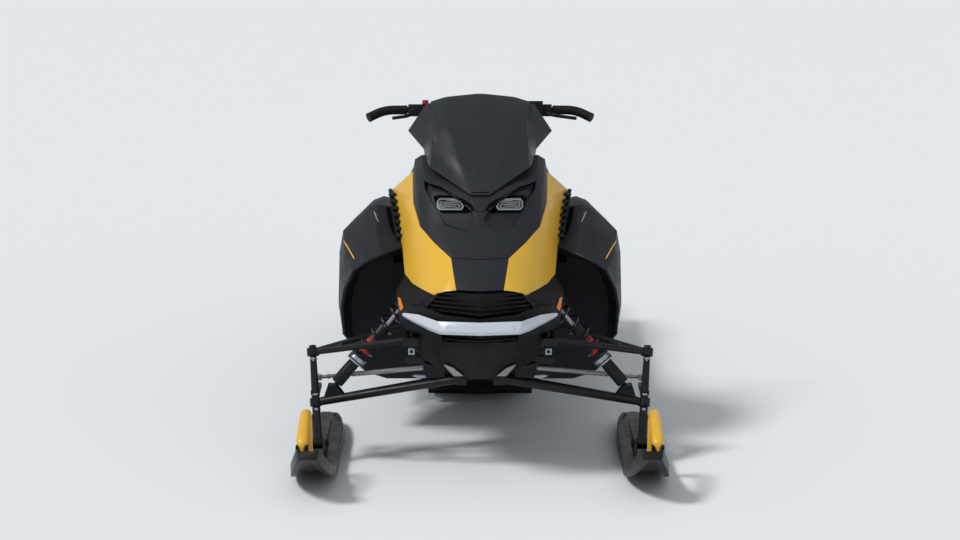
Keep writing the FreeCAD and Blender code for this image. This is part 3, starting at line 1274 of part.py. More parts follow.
TANK = [  # y and half section from the tunnel to the crown
    (-340, [(190, 600), (188, 690), (130, 800), (75, 870)]),
    (-220, [(200, 600), (196, 680), (140, 780), (80, 850)]),
    (-80, [(195, 600), (190, 660), (150, 745), (90, 800)])]
SEAT = [
    (-80 + FIT, [(150, 0), (172, 640), (150, 735), (95, 785)]),
    (150, [(172, 0), (182, 640), (152, 722), (105, 765)]),
    (420, [(185, 0), (192, 640), (162, 730), (118, 770)]),
    (560, [(185, 0), (194, 650), (168, 755), (124, 792)]),
    (720, [(182, 0), (186, 650), (160, 760), (118, 800)]),
    (850, [(165, 0), (160, 640), (132, 745), (92, 790)])]


def lofted(rows):
    """Body on the tunnel's top through half sections."""
    wires = []
    for y, half in rows:
        base = TUNNEL_TOP + FIT
        points = [V(x, y, max(z, base)) for x, z in [(half[0][0], base)] + half[1:]]
        wires.append(polygon(points + [flip(p) for p in reversed(points)]))
    return Part.makeLoft(wires, True, True)


def tank():
    """Tank cover from the console to the seat, with its filler cap."""
    body = lofted([(y, [(half[0][0], 0)] + half) for y, half in TANK])
    cap = bar(V(0, -250, 790), V(0, -246, 874), 42, 20)
    return fuse([body, cap])


def seat():
    """Cushion on the tunnel with a raised rear edge."""
    return lofted(SEAT)


def wheel(x, y, z, radius, side):
    """Wheel with a rim and a hub that stand out of its web on the outer side."""
    middle = V(side * x, y, z)
    half = V(WHEEL_WIDTH / 2, 0, 0)
    disc = bar(middle - half, middle + half, radius - FIT, WHEEL_SIDES)
    dishes = []
    for face in (-1, 1):
        start = middle + half * face
        end = start - V(face * WHEEL_DISH, 0, 0)
        dish = bar(start, end, radius - WHEEL_RIM, WHEEL_SIDES)
        dishes.append(dish.cut(bar(start, end, WHEEL_HUB, FINE)))
    return disc.cut(Part.Compound(dishes))


def idler_wheels():
    """Wheels in line on their shafts; the carriers turn on the rear arm's tube."""
    groups = []
    reach = OUTER_WHEEL_X + 16
    for y in sorted({row[0] for row in WHEELS}):
        rows = [row for row in WHEELS if row[0] == y]
        z = rows[0][1]
        if y == CARRIER_Y:
            bore = rod(V(-reach, y, z), V(reach, y, z), SKID_TUBE + FIT)
            groups += [wheel(x, y, z, radius, side).cut(bore) for _, _, radius, x in rows
                       for side in (-1, 1)]
        elif y == IDLER_Y:
            shaft = rod(V(-reach, y, z), V(reach, y, z), SKID_SHAFT)
            groups.append(fuse([wheel(x, y, z, radius, side) for _, _, radius, x in rows
                                for side in (-1, 1)] + [shaft]))
        else:
            inner = RAIL_SPREAD / 2 - RAIL_WALL / 2 - 2
            for side in (-1, 1):
                shaft = rod(V(side * inner, y, z), V(side * reach, y, z), SKID_SHAFT)
                groups.append(fuse([wheel(rows[0][3], y, z, rows[0][2], side), shaft]))
    return Part.Compound(groups)


def arm_bar(top_y, top_z, low_y, low_z):
    """Place of the cross bar on an arm that holds its shock."""
    return (top_y + (low_y - top_y) * ARM_BAR_SHARE, top_z + (low_z - top_z) * ARM_BAR_SHARE)


def skid_arms():
    """Front and rear arms from the tunnel's sides down to the rails, and the shocks' shafts."""
    inside = TUNNEL_WIDTH / 2 - TUNNEL_WALL - FIT
    rail_in = RAIL_SPREAD / 2 - RAIL_WALL / 2 - FIT
    pieces = []
    for top_y, top_z, low_y, low_z in (FRONT_ARM, REAR_ARM):
        upper = rod(V(-inside, top_y, top_z), V(inside, top_y, top_z), SKID_TUBE)
        lower = bar(V(-rail_in, low_y, low_z), V(rail_in, low_y, low_z), SKID_TUBE)
        legs = [bar(V(x, top_y, top_z), V(x, low_y, low_z), SKID_TUBE + 2, COARSE)
                for x in (-LEG_X, LEG_X)]
        y, z = arm_bar(top_y, top_z, low_y, low_z)
        cross = rod(V(-LEG_X, y, z), V(LEG_X, y, z), SKID_SHAFT)
        pieces.append(fuse([upper, lower, cross] + legs))
    for y, z in SHOCK_SHAFTS:
        pieces.append(rod(V(-rail_in, y, z), V(rail_in, y, z), SKID_SHAFT))
    return Part.Compound(pieces)


def skid_shocks():
    """Two shocks on the centre line, from each arm's cross bar to a shaft between the rails."""
    shocks = []
    x = V(1, 0, 0)
    for arm_row, (low_y, low_z) in zip((FRONT_ARM, REAR_ARM), SHOCK_SHAFTS):
        top, low = V(0, *arm_bar(*arm_row)), V(0, low_y, low_z)
        pieces = [bar(along(top, low, 12), along(low, top, 12), 15),
                  bar(along(low, top, 40), along(top, low, 60), 26),
                  bar(along(low, top, 52), along(top, low, 72), 30)]
        pieces += [rod(p - x * 22, p + x * 22, 20) for p in (top, low)]
        bores = [rod(p - x * 40, p + x * 40, SKID_SHAFT + FIT) for p in (top, low)]
        shocks.append(fuse(pieces).cut(Part.Compound(bores)))
    return Part.Compound(shocks)


def rear_bumper():
    """Tube loop round the tunnel's rear end."""
    x = TUNNEL_WIDTH / 2 + LOOP_RADIUS + FIT
    front, rear = TUNNEL_REAR_Y - LOOP_RUN, TUNNEL_REAR_Y + LOOP_BACK
    half = [V(x, front, LOOP_Z), V(x, TUNNEL_REAR_Y + LOOP_BACK * 0.3, LOOP_Z),
            V(x - 30, rear, LOOP_Z + LOOP_UP)]
    points = half + [flip(p) for p in reversed(half)]
    return mitred(rounded(points, 45), LOOP_RADIUS)


FLAP = [  # from the tunnel's rear edge and top: distance back, distance down; outside then inside
    (FIT, 0), (14, 0), (138, 155), (305, 278), (355, 310), (355, 320), (300, 290), (130, 170),
    (FIT, 60)]


def snow_flap():
    """Flap that hangs behind the track."""
    outline = [(TUNNEL_REAR_Y + back, TUNNEL_TOP - down) for back, down in FLAP]
    return prism_x(outline, -FLAP_HALF, FLAP_HALF)


def tail_light():
    """Wedge lamp on the rear of the seat."""
    start = SEAT[-1][0] + FIT
    outline = [(start, 600), (start + 30, 612), (start + 38, 650), (start, 668)]
    return prism_x(outline, -95, 95)


def build():
    """All nodes by name."""
    nodes = {}
    left = {"ski": ski(), "ski_handle": ski_handle(), "runner": runner(), "spindle": spindle(),
            "tie_rod": tie_rod()}
    for name, shape in left.items():
        nodes[name + "_left"] = shape
        nodes[name + "_right"] = mirror(shape)
    hood_fat = fat(whole_rows(HOOD))
    nose_fat = fat(whole_rows(NOSE_TOP))
    belly_fat = fat(whole_rows(BELLY))
    nodes["lower_arms"] = both(lower_arm())
    nodes["upper_arms"] = both(upper_arm())
    nodes["shocks"] = both(shock())
    nodes["springs"] = both(coil())
    nodes["track"] = track()
    nodes["drive_axle"] = drive_axle()
    nodes["tunnel"] = tunnel()
    nodes["running_boards"] = both(running_board())
    nodes["slide_rails"] = both(slide_rail(RAIL_SPREAD / 2))
    nodes["front_frame"] = front_frame()
    nodes["engine"] = engine()
    nodes["belly_pan"] = belly_pan()
    nodes["castings"] = castings()
    nodes["nose_panel"] = sheet(whole_rows(NOSE_TOP))
    nodes["accent_panels"] = both(trimmed(sheet(ACCENT), [hood_fat, nose_fat, belly_fat,
                                                          fat(NOSE_FLANK)]))
    nodes["hood"] = hood()
    nodes["headlights"] = headlights()
    nodes["console"] = console()
    nodes["gauge"] = gauge()
    nodes["windshield"] = trimmed(sheet(whole_rows(SHIELD)), [hood_fat])
    nodes["deflectors"] = both(trimmed(sheet(WING), [fat(whole_rows(SHIELD)), hood_fat,
                                                     fat(whole_rows(CONSOLE))]))
    nodes["side_panels"] = both(side_panel())
    nodes["grille"] = grille()
    nodes["bumper"] = bumper()
    nodes["side_markers"] = both(marker(0))
    nodes["handlebar"] = handlebar()
    nodes["grips"] = grips()
    nodes["controls"] = controls()
    nodes["tank"] = tank()
    nodes["seat"] = seat()
    nodes["idler_wheels"] = idler_wheels()
    nodes["skid_arms"] = skid_arms()
    nodes["skid_shocks"] = skid_shocks()
    nodes["rear_bumper"] = rear_bumper()
    nodes["snow_flap"] = snow_flap()
    nodes["tail_light"] = tail_light()
    return nodes


os.makedirs("parts", exist_ok=True)
for node, shape in build().items():
    print(node, shape.ShapeType, len(shape.Solids), round(shape.Volume / 1e3), shape.isValid())
    shape.exportStep("parts/" + node + ".step")
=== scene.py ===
"""Snowmobile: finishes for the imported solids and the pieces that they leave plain."""
import logging
import math
from dataclasses import dataclass, field
from enum import Enum

import bmesh
import bpy
import numpy as np
from bpy.types import Material, Mesh, Node, NodeSocket, NodeTree, Object
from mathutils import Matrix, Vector
from mathutils.bvhtree import BVHTree


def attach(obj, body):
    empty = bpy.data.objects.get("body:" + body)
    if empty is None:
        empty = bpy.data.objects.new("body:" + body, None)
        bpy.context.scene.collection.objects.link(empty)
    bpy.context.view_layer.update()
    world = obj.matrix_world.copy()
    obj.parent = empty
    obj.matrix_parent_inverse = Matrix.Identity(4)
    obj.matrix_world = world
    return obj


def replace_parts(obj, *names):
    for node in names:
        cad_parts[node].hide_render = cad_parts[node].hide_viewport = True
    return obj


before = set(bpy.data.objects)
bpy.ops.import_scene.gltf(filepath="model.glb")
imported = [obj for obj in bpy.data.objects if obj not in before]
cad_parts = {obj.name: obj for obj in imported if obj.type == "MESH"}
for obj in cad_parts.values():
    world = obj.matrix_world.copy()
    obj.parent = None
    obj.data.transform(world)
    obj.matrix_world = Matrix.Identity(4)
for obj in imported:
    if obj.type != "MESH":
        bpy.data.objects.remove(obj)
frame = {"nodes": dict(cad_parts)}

logging.basicConfig(level=logging.INFO, format="%(message)s")
LOG = logging.getLogger("snowmobile")
SIDES = ("left", "right")
Array = np.ndarray
Shape = tuple[Array, list]              # points in millimetres, and the corners of every face
MM = 0.001
MIX_A, MIX_B, MIX_RESULT = 6, 7, 2      # colour sockets of a Mix node
LEVEL_A, LEVEL_B = 2, 3                 # number sockets of a Mix node
PATCHES_PER_M = 9.0                     # uneven tone, in patches of about 110 mm
RUBS_PER_M = 34.0                       # uneven gloss, in patches of about 30 mm
GLOSS_SPREAD = 0.07                     # how far the roughness strays from its middle
SHARP_DEG = 34.0                        # edges sharper than this are rounded or stay sharp


# Colour and nodes
def linear(hex_colour: str) -> tuple[float, float, float, float]:
    """Turns an sRGB hex colour into linear light.

    Args:
        hex_colour: Colour such as "#E3B43A".

    Returns:
        Red, green, blue and alpha, where alpha is 1.
    """
    value = np.array([int(hex_colour[i:i + 2], 16) for i in (1, 3, 5)]) / 255
    light = np.where(value <= 0.04045, value / 12.92, ((value + 0.055) / 1.055) ** 2.4)
    return (*[float(v) for v in light], 1.0)


def add(tree: NodeTree, kind: str, inputs: dict | None = None, **settings) -> Node:
    """Adds a node with its settings, values and links.

    Args:
        tree: Node tree that takes the node.
        kind: Blender's type name of the node.
        inputs: Input name or index to a value or to an output socket.
        settings: Properties of the node.

    Returns:
        The new node.
    """
    node = tree.nodes.new(kind)
    for name, value in settings.items():
        setattr(node, name, value)
    for name, value in (inputs or {}).items():
        if isinstance(value, NodeSocket):
            tree.links.new(value, node.inputs[name])
        else:
            node.inputs[name].default_value = value
    return node


class Grain(Enum):
    """Fine relief of a surface."""

    MOULDED = "moulded"
    CELLS = "cells"
    BRUSHED = "brushed"
    SMOOTH = "smooth"


@dataclass(frozen=True)
class Finish:
    """Procedural finish that reads Object coordinates.

    Attributes:
        name: What the real surface is.
        colour: Colour as sRGB hex.
        roughness: Middle roughness.
        metallic: 1 for bare metal.
        grain: Kind of relief.
        grain_mm: Size of one grain.
        bump: Height of the relief, 0 to 1.
        shift: Share by which the colour darkens in patches.
        coat: Weight of a clear coat.
        sheen: Weight of a soft sheen.
        specular: Level of the gloss; half is a bare moulding, less is a matt one.
    """

    name: str
    colour: str
    roughness: float
    metallic: float = 0.0
    grain: Grain = Grain.MOULDED
    grain_mm: float = 3.0
    bump: float = 0.15
    shift: float = 0.12
    coat: float = 0.0
    sheen: float = 0.0
    specular: float = 0.5

    def material(self) -> Material:
        """Returns the material, made on its first use."""
        known = bpy.data.materials.get(self.name)
        if known:
            return known
        material = bpy.data.materials.new(self.name)
        material.use_nodes = True
        tree = material.node_tree
        tree.nodes.clear()
        place = add(tree, "ShaderNodeTexCoord").outputs["Object"]
        light = linear(self.colour)
        dark = tuple(c * (1 - self.shift) for c in light[:3]) + (1.0,)
        patches = add(tree, "ShaderNodeTexNoise", {
            "Vector": place, "Scale": PATCHES_PER_M, "Detail": 5.0, "Roughness": 0.62})
        tone = add(tree, "ShaderNodeMix", {
            0: patches.outputs["Fac"], MIX_A: dark, MIX_B: light}, data_type="RGBA")
        rubbed = add(tree, "ShaderNodeTexNoise", {
            "Vector": place, "Scale": RUBS_PER_M, "Detail": 6.0})
        rough = add(tree, "ShaderNodeMapRange", {
            "Value": rubbed.outputs["Fac"], "From Min": 0.3, "From Max": 0.7,
            "To Min": max(self.roughness - GLOSS_SPREAD, 0.03),
            "To Max": min(self.roughness + GLOSS_SPREAD, 1.0)})
        shader = add(tree, "ShaderNodeBsdfPrincipled", {
            "Base Color": tone.outputs[MIX_RESULT], "Roughness": rough.outputs["Result"],
            "Metallic": self.metallic, "Coat Weight": self.coat, "Coat Roughness": 0.12,
            "Sheen Weight": self.sheen, "Specular IOR Level": self.specular})
        relief = self.relief(tree, place)
        if relief:
            bump = add(tree, "ShaderNodeBump", {"Height": relief, "Strength": self.bump,
                                                "Distance": self.grain_mm * MM * 0.35})
            tree.links.new(bump.outputs["Normal"], shader.inputs["Normal"])
        add(tree, "ShaderNodeOutputMaterial", {"Surface": shader.outputs["BSDF"]})
        return material

    def relief(self, tree: NodeTree, place: NodeSocket) -> NodeSocket | None:
        """Adds the relief's nodes.

        Args:
            tree: Node tree of the material.
            place: Socket with Object coordinates.

        Returns:
            The height socket, or None for a smooth surface.
        """
        scale = 1.0 / (self.grain_mm * MM)
        if self.grain is Grain.SMOOTH:
            return None
        if self.grain is Grain.CELLS:
            return add(tree, "ShaderNodeTexVoronoi", {"Vector": place, "Scale": scale},
                       feature="SMOOTH_F1").outputs["Distance"]
        if self.grain is Grain.BRUSHED:
            place = add(tree, "ShaderNodeMapping", {
                "Vector": place, "Scale": (0.04, 1.0, 1.0)}).outputs["Vector"]
        return add(tree, "ShaderNodeTexNoise", {
            "Vector": place, "Scale": scale, "Detail": 3.0}).outputs["Fac"]


# Finishes
# Satin moulded panel: a broad dull highlight, a little uneven in its gloss.
BODYWORK = Finish("moulded_bodywork_charcoal", "#26282E", 0.46, grain_mm=1.4, bump=0.04,
                  specular=0.22, shift=0.06)
# Gloss moulded panel: an even colour with a clear highlight at its edges.
YELLOW = Finish("moulded_bodywork_yellow", "#E6B43A", 0.38, grain=Grain.SMOOTH, coat=0.15,
                shift=0.02, specular=0.3)
# Grained black plastic: a fine pebble that breaks up the highlight.
TEXTURED = Finish("grained_polypropylene_black", "#141518", 0.58, grain=Grain.CELLS,
                  grain_mm=1.8, bump=0.25, specular=0.18)
# Matt moulded panel: the shape shows in slow steps of grey, with hardly a highlight.
SIDE = Finish("moulded_bodywork_dark", "#26272C", 0.5, grain_mm=1.6, bump=0.06, specular=0.2,
              shift=0.08)
# Smoked screen: smooth, with a tight pale highlight.
SCREEN = Finish("smoked_polycarbonate", "#292B31", 0.34, grain=Grain.SMOOTH, shift=0.03,
                specular=0.28)
# Silver paint under lacquer: pale, with the sky in it.
SILVER = Finish("silver_paint", "#CDD2DA", 0.34, metallic=0.1, grain=Grain.SMOOTH, coat=0.3,
                shift=0.02)
# Lamp glass over a dull bowl: grey, without a hard glint.
LAMP = Finish("clear_lamp_lens", "#4A4D52", 0.34, grain=Grain.SMOOTH, specular=0.25)
# Ribbed lenses: a strong colour that sparkles a little from cell to cell.
AMBER = Finish("amber_lens", "#E67E08", 0.3, grain=Grain.CELLS, grain_mm=4.0, bump=0.2,
               specular=0.25)
RED_LENS = Finish("red_lens", "#A81414", 0.18, grain=Grain.CELLS, grain_mm=4.0, bump=0.3,
                  coat=0.5)
# Powder coat: an orange-peel skin that softens the lamps' reflections.
POWDER = Finish("powder_coated_steel_black", "#101113", 0.42, grain=Grain.CELLS,
                grain_mm=1.2, bump=0.1, specular=0.3)
# Cast aluminium: pale and sandy.
CAST = Finish("cast_aluminium", "#B5B3AB", 0.42, metallic=0.6, grain_mm=1.5, bump=0.2)
# Bare steel and polished aluminium: bright lines along their round sides.
STEEL = Finish("bright_steel", "#A9ABB2", 0.34, metallic=0.7, grain=Grain.SMOOTH, shift=0.03)
BRIGHT = Finish("polished_aluminium", "#A6A8B0", 0.32, metallic=0.65, grain=Grain.SMOOTH,
                shift=0.03)
# Cast iron and alloy: rough, dark and blotched.
BLOCK = Finish("cast_engine_block", "#3A3B3D", 0.6, metallic=0.5, grain=Grain.CELLS,
               grain_mm=3.0, bump=0.4)
# Slippery plastic: waxy, with a wide soft shine and fine scuffs.
SKI_PLASTIC = Finish("polyethylene_ski_black", "#121315", 0.42, grain_mm=2.2, bump=0.1,
                     specular=0.3)
# Rubbers: dull, with a grain that swallows the light.
LUG_RUBBER = Finish("track_rubber", "#1B1B1C", 0.66, grain=Grain.CELLS, grain_mm=2.4,
                    bump=0.3, specular=0.2)
WHEEL = Finish("wheel_rubber_and_nylon", "#222325", 0.55, grain_mm=2.0, bump=0.2,
               specular=0.3)
GRIP = Finish("grip_rubber", "#121213", 0.62, grain=Grain.CELLS, grain_mm=2.2, bump=0.4,
              specular=0.2)
# Coated sheet: dark metal with a quiet gleam.
TUNNEL = Finish("coated_aluminium_dark", "#2A2B2E", 0.4, metallic=0.5, grain_mm=1.2,
                bump=0.08)
# Drawn and anodised rail: fine lines along its length, coarser than the real ones to show.
RAIL = Finish("anodised_aluminium_rail", "#77797E", 0.35, metallic=0.9, grain=Grain.BRUSHED,
              grain_mm=1.0, bump=0.1)
# Seat vinyl: a leathery grain with a soft sheen at grazing angles.
COVER = Finish("seat_vinyl_black", "#1A1B1D", 0.5, grain=Grain.CELLS, grain_mm=2.0, bump=0.3,
               sheen=0.1, specular=0.3)
# Display glass: a black mirror.
GLASS_BLACK = Finish("display_glass", "#0C0D0F", 0.1, grain=Grain.SMOOTH, coat=0.8)
# Painted spring wire: black, with a thin bright line round each turn.
SPRING_BLACK = Finish("spring_wire_black", "#101113", 0.3, grain=Grain.SMOOTH, coat=0.3,
                      shift=0.05, specular=0.4)
# Painted shade for gaps between panels, grooves, slots, vents and the recesses round the lamps: a
# near-black where no light comes back.
SHADOW = Finish("painted_shadow_black", "#08090A", 0.8, grain=Grain.SMOOTH, shift=0.0,
                specular=0.05)
# Satin grey plastic: light and even.
LAMP_FRAME = Finish("lamp_frame_light_grey", "#94989D", 0.5, grain=Grain.SMOOTH, shift=0.03,
                    specular=0.15)
# Red plastic: a clean colour with a small highlight.
RED = Finish("red_moulding", "#B3221E", 0.4, grain_mm=1.4, bump=0.05, coat=0.1, specular=0.3)

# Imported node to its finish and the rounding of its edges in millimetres
NODE_FINISH: dict[str, tuple[Finish, float]] = {
    name: (finish, bevel_mm) for finish, bevel_mm, names in (
        (SKI_PLASTIC, 2.0, "ski"), (YELLOW, 11.0, "ski_handle"), (YELLOW, 1.8, "accent_panels"),
        (STEEL, 0.0, "runner tie_rod"), (POWDER, 1.5, "spindle"), (POWDER, 0.8, "shocks handlebar"),
        (POWDER, 0.0, "lower_arms upper_arms springs drive_axle skid_arms rear_bumper"),
        (POWDER, 1.0, "front_frame skid_shocks"), (TUNNEL, 0.8, "tunnel"),
        (TUNNEL, 1.5, "running_boards"), (RAIL, 1.0, "slide_rails"), (BLOCK, 6.0, "engine"),
        (TEXTURED, 1.5, "belly_pan console controls"), (TEXTURED, 1.0, "grille"),
        (TEXTURED, 6.0, "tank"), (CAST, 1.2, "castings"), (BODYWORK, 1.5, "nose_panel"),
        (BODYWORK, 1.6, "hood"), (SCREEN, 1.6, "windshield deflectors"), (SIDE, 2.0, "side_panels"),
        (GLASS_BLACK, 3.0, "gauge"), (SILVER, 3.0, "bumper"), (LAMP, 2.0, "headlights"),
        (AMBER, 2.0, "side_markers"), (RED_LENS, 3.0, "tail_light"), (GRIP, 0.0, "grips"),
        (COVER, 10.0, "seat"), (LUG_RUBBER, 1.2, "track"), (LUG_RUBBER, 2.0, "snow_flap"),
        (WHEEL, 1.2, "idler_wheels")) for name in names.split()}


# Lines and meshes
def unit(rows: Array) -> Array:
    """Returns directions of length 1."""
    return rows / np.linalg.norm(rows, axis=-1, keepdims=True)


def lengths(line: Array) -> Array:
    """Returns how far along a line each of its points lies."""
    return np.concatenate([[0], np.cumsum(np.linalg.norm(np.diff(line, axis=0), axis=1))])


def along(marks: Array, places: Array, rows: Array) -> Array:
    """Returns the rows at some marks, on straight runs between the rows at their places."""
    return np.stack([np.interp(marks, places, column) for column in rows.T], 1)


def eased(rows: Array, window: int) -> Array:
    """Softens corners: each row becomes a raised-cosine average of its neighbours.

    Both ends stay, because the line is carried on past them as its own point reflection.

    Args:
        rows: Rows in order.
        window: Number of rows in an average, an odd one.

    Returns:
        As many rows.
    """
    kernel = np.hanning(window)
    kernel /= kernel.sum()
    reach = window // 2
    longer = np.concatenate([2 * rows[:1] - rows[reach:0:-1], rows,
                             2 * rows[-1:] - rows[-2:-2 - reach:-1]])
    return sum(longer[k:k + len(rows)] * kernel[k] for k in range(window))


def closer(points: Array, step: float, closed: bool = False) -> Array:
    """Adds points on straight runs, a step apart.

    Args:
        points: Corners of the line.
        step: Distance between the new points.
        closed: Joins the last corner to the first.

    Returns:
        The denser line.
    """
    points = np.asarray(points, float)
    if closed:
        points = np.concatenate([points, points[:1]])
    run = lengths(points)
    marks = np.linspace(0, run[-1], max(int(run[-1] / step), 2) + 1)
    marks = np.unique(np.concatenate([marks, run]))
    return along(marks[:-1] if closed else marks, run, points)


def grid_faces(rows: int, columns: int, wrap_rows: bool = False, wrap_columns: bool = False
               ) -> list[list[int]]:
    """Quads of a grid of points.

    Args:
        rows: Number of rows.
        columns: Points in a row.
        wrap_rows: Joins the last row to the first.
        wrap_columns: Joins the last column to the first.

    Returns:
        Four corner indices for every quad.
    """
    i = np.arange(rows if wrap_rows else rows - 1)
    j = np.arange(columns if wrap_columns else columns - 1)
    i, j = (a.ravel() for a in np.meshgrid(i, j, indexing="ij"))
    i2, j2 = (i + 1) % rows, (j + 1) % columns
    quads = [i * columns + j, i * columns + j2, i2 * columns + j2, i2 * columns + j]
    return np.stack(quads, 1).tolist()


def tube_faces(rows: int, sides: int) -> list[list[int]]:
    """Returns the quads of a tube of rings, and a face that closes each end."""
    last = (rows - 1) * sides
    ends = [list(range(sides)), list(range(last + sides - 1, last - 1, -1))]
    return grid_faces(rows, sides, wrap_columns=True) + ends


def swept(path: Array, radius: float | Array, sides: int = 20, upright: tuple = (0, 0, 1)
          ) -> Shape:
    """Round bar along a path: centre + radius * (cos a * side + sin a * up) at every path point.

    Args:
        path: Points of the centre line.
        radius: One radius, or one for every point.
        sides: Points round the bar.
        upright: Direction that is never along the path.

    Returns:
        Points and faces, with both ends closed.
    """
    path = np.asarray(path, float)
    run = unit(np.gradient(path, axis=0))
    side = unit(np.cross(run, np.asarray(upright, float)))
    top = np.cross(side, run)
    turn = np.linspace(0, 2 * np.pi, sides, endpoint=False)[None, :, None]
    radius = np.broadcast_to(np.asarray(radius, float), (len(path),))[:, None, None]
    points = path[:, None] + radius * (np.cos(turn) * side[:, None] + np.sin(turn) * top[:, None])
    return points.reshape(-1, 3), tube_faces(len(path), sides)


def turned(start: Array, end: Array, profile: tuple, sides: int = 40) -> Shape:
    """Solid of revolution: start + axis * distance + radius * (cos a * u + sin a * v).

    Args:
        start: Start of the axis in millimetres.
        end: Point that the axis runs to.
        profile: Distance along the axis and radius, from the start on.
        sides: Points round the axis.

    Returns:
        Points and faces, with both ends closed.
    """
    start, end, rows = (np.asarray(a, float) for a in (start, end, profile))
    axis = unit(end - start)
    u = unit(np.cross(axis, [0.0, 1.0, 0.0] if abs(axis[1]) < 0.9 else [0.0, 0.0, 1.0]))
    turn = np.linspace(0, 2 * np.pi, sides, endpoint=False)
    ring = np.cos(turn)[:, None] * u + np.sin(turn)[:, None] * np.cross(axis, u)
    points = start + rows[:, 0, None, None] * axis + rows[:, 1, None, None] * ring[None]
    return points.reshape(-1, 3), [f[::-1] for f in tube_faces(len(rows), sides)]


def collar(start: Array, end: Array, low: float, high: float, radius: float, bore: float,
           sides: int = 40) -> Shape:
    """Ring round an axis, between two distances from its start."""
    profile = ((low, bore), (low, radius), (high, radius), (high, bore))
    return turned(start, end, profile, sides)


def ribbon(points: Array, normals: Array, width: float, high: float, deep: float = 1.5,
           closed: bool = False) -> Shape:
    """Flat strip on a surface: centre +- width / 2 along side, from deep under to high over it.

    Args:
        points: Centre line in millimetres.
        normals: Outward direction of the surface at every point.
        width: Width at the foot; the top is a fifth narrower.
        high: Height over the surface.
        deep: Depth under the surface.
        closed: Joins the end to the start.

    Returns:
        Points and faces.
    """
    run = np.roll(points, -1, 0) - np.roll(points, 1, 0) if closed else np.gradient(points, axis=0)
    side = unit(np.cross(run, normals)) * width / 2
    foot, top = points - normals * deep, points + normals * high
    corners = [foot + side, foot - side, top - side * 0.8, top + side * 0.8]
    faces = [f[::-1] for f in grid_faces(len(points), 4, wrap_rows=closed, wrap_columns=True)]
    if not closed:
        last = (len(points) - 1) * 4
        faces += [[0, 1, 2, 3], [last + 3, last + 2, last + 1, last]]
    return np.stack(corners, 1).reshape(-1, 3), faces


def prism(near: Array, far: Array) -> Shape:
    """Solid between two outlines with the same number of corners."""
    count = len(near)
    sides = [[k, (k + 1) % count, (k + 1) % count + count, k + count] for k in range(count)]
    ends = [list(range(count))[::-1], list(range(count, 2 * count))]
    return np.concatenate([near, far]), ends + sides


def mirrored(vertices: Array, faces: list) -> Shape:
    """Returns the points and faces of the twin on the other side of the centre plane."""
    return vertices * np.array([-1.0, 1.0, 1.0]), [list(reversed(f)) for f in faces]


def joined(parts: list[Shape]) -> Shape:
    """Returns several sets of points and faces as one."""
    points, faces, start = [], [], 0
    for vertices, quads in parts:
        points.append(np.asarray(vertices, float))
        faces += [[int(c) + start for c in quad] for quad in quads]
        start += len(vertices)
    return np.concatenate(points), faces


def both(shape: Shape) -> Shape:
    """Returns a left shape with its twin on the right."""
    return joined([shape, mirrored(*shape)])


def sided(shape: Shape, side: str) -> Shape:
    """Returns a left shape, or its twin where the side is the right one."""
    return mirrored(*shape) if side == "right" else shape


# Pieces
def smooth_by_angle(limit_deg: float = SHARP_DEG) -> NodeTree:
    """Returns the node group that shades flat facets round and keeps sharper edges."""
    name = f"round_shading_{limit_deg:.0f}"
    known = bpy.data.node_groups.get(name)
    if known:
        return known
    group = bpy.data.node_groups.new(name, "GeometryNodeTree")
    for way in ("INPUT", "OUTPUT"):
        group.interface.new_socket("Geometry", in_out=way, socket_type="NodeSocketGeometry")
    start = add(group, "NodeGroupInput")
    faces = add(group, "GeometryNodeSetShadeSmooth", {
        "Geometry": start.outputs[0], "Shade Smooth": True}, domain="FACE")
    angle = add(group, "GeometryNodeInputMeshEdgeAngle")
    soft = add(group, "FunctionNodeCompare", {
        0: angle.outputs["Unsigned Angle"], 1: math.radians(limit_deg)},
        data_type="FLOAT", operation="LESS_THAN")
    edges = add(group, "GeometryNodeSetShadeSmooth", {
        "Geometry": faces.outputs[0], "Shade Smooth": soft.outputs[0]}, domain="EDGE")
    add(group, "NodeGroupOutput", {0: edges.outputs[0]})
    return group


def round_edges(piece: Object, bevel_mm: float, limit_deg: float = SHARP_DEG) -> None:
    """Rounds a piece's sharp edges and shades its facets.

    Args:
        piece: Object that takes the modifiers.
        bevel_mm: Width of the rounding; 0 leaves the edges.
        limit_deg: Edges sharper than this are rounded or stay sharp.
    """
    weld = piece.modifiers.new("weld", "WELD")
    weld.merge_threshold = 0.02 * MM
    flat = piece.modifiers.new("flats", "DECIMATE")
    flat.decimate_type = "DISSOLVE"
    flat.angle_limit = math.radians(0.6)
    if bevel_mm:
        bevel = piece.modifiers.new("edges", "BEVEL")
        bevel.width = bevel_mm * MM
        bevel.segments = 3
        bevel.limit_method = "ANGLE"
        bevel.angle_limit = math.radians(limit_deg)
        bevel.use_clamp_overlap = True
    shade = piece.modifiers.new("shading", "NODES")
    shade.node_group = smooth_by_angle(limit_deg)


def paint(piece: Object, finish: Finish) -> None:
    """Gives a piece one finish in place of its materials."""
    piece.data.materials.clear()
    piece.data.materials.append(finish.material())


def new_piece(name: str, shape: Shape, finish: Finish, body: str = "chassis"
              ) -> Object:
    """Makes a piece from whole arrays and lets it ride on a body.

    Args:
        name: Name of the piece.
        shape: Points in millimetres and faces.
        finish: Finish of the surface.
        body: Body that carries the piece.

    Returns:
        The object at the origin.
    """
    vertices, faces = shape
    mesh = bpy.data.meshes.new(name)
    mesh.from_pydata((np.asarray(vertices, float) * MM).tolist(), [],
                     [list(map(int, f)) for f in faces])
    mesh.update()
    piece = bpy.data.objects.new(name, mesh)
    bpy.context.scene.collection.objects.link(piece)
    paint(piece, finish)
    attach(piece, body)
    return piece


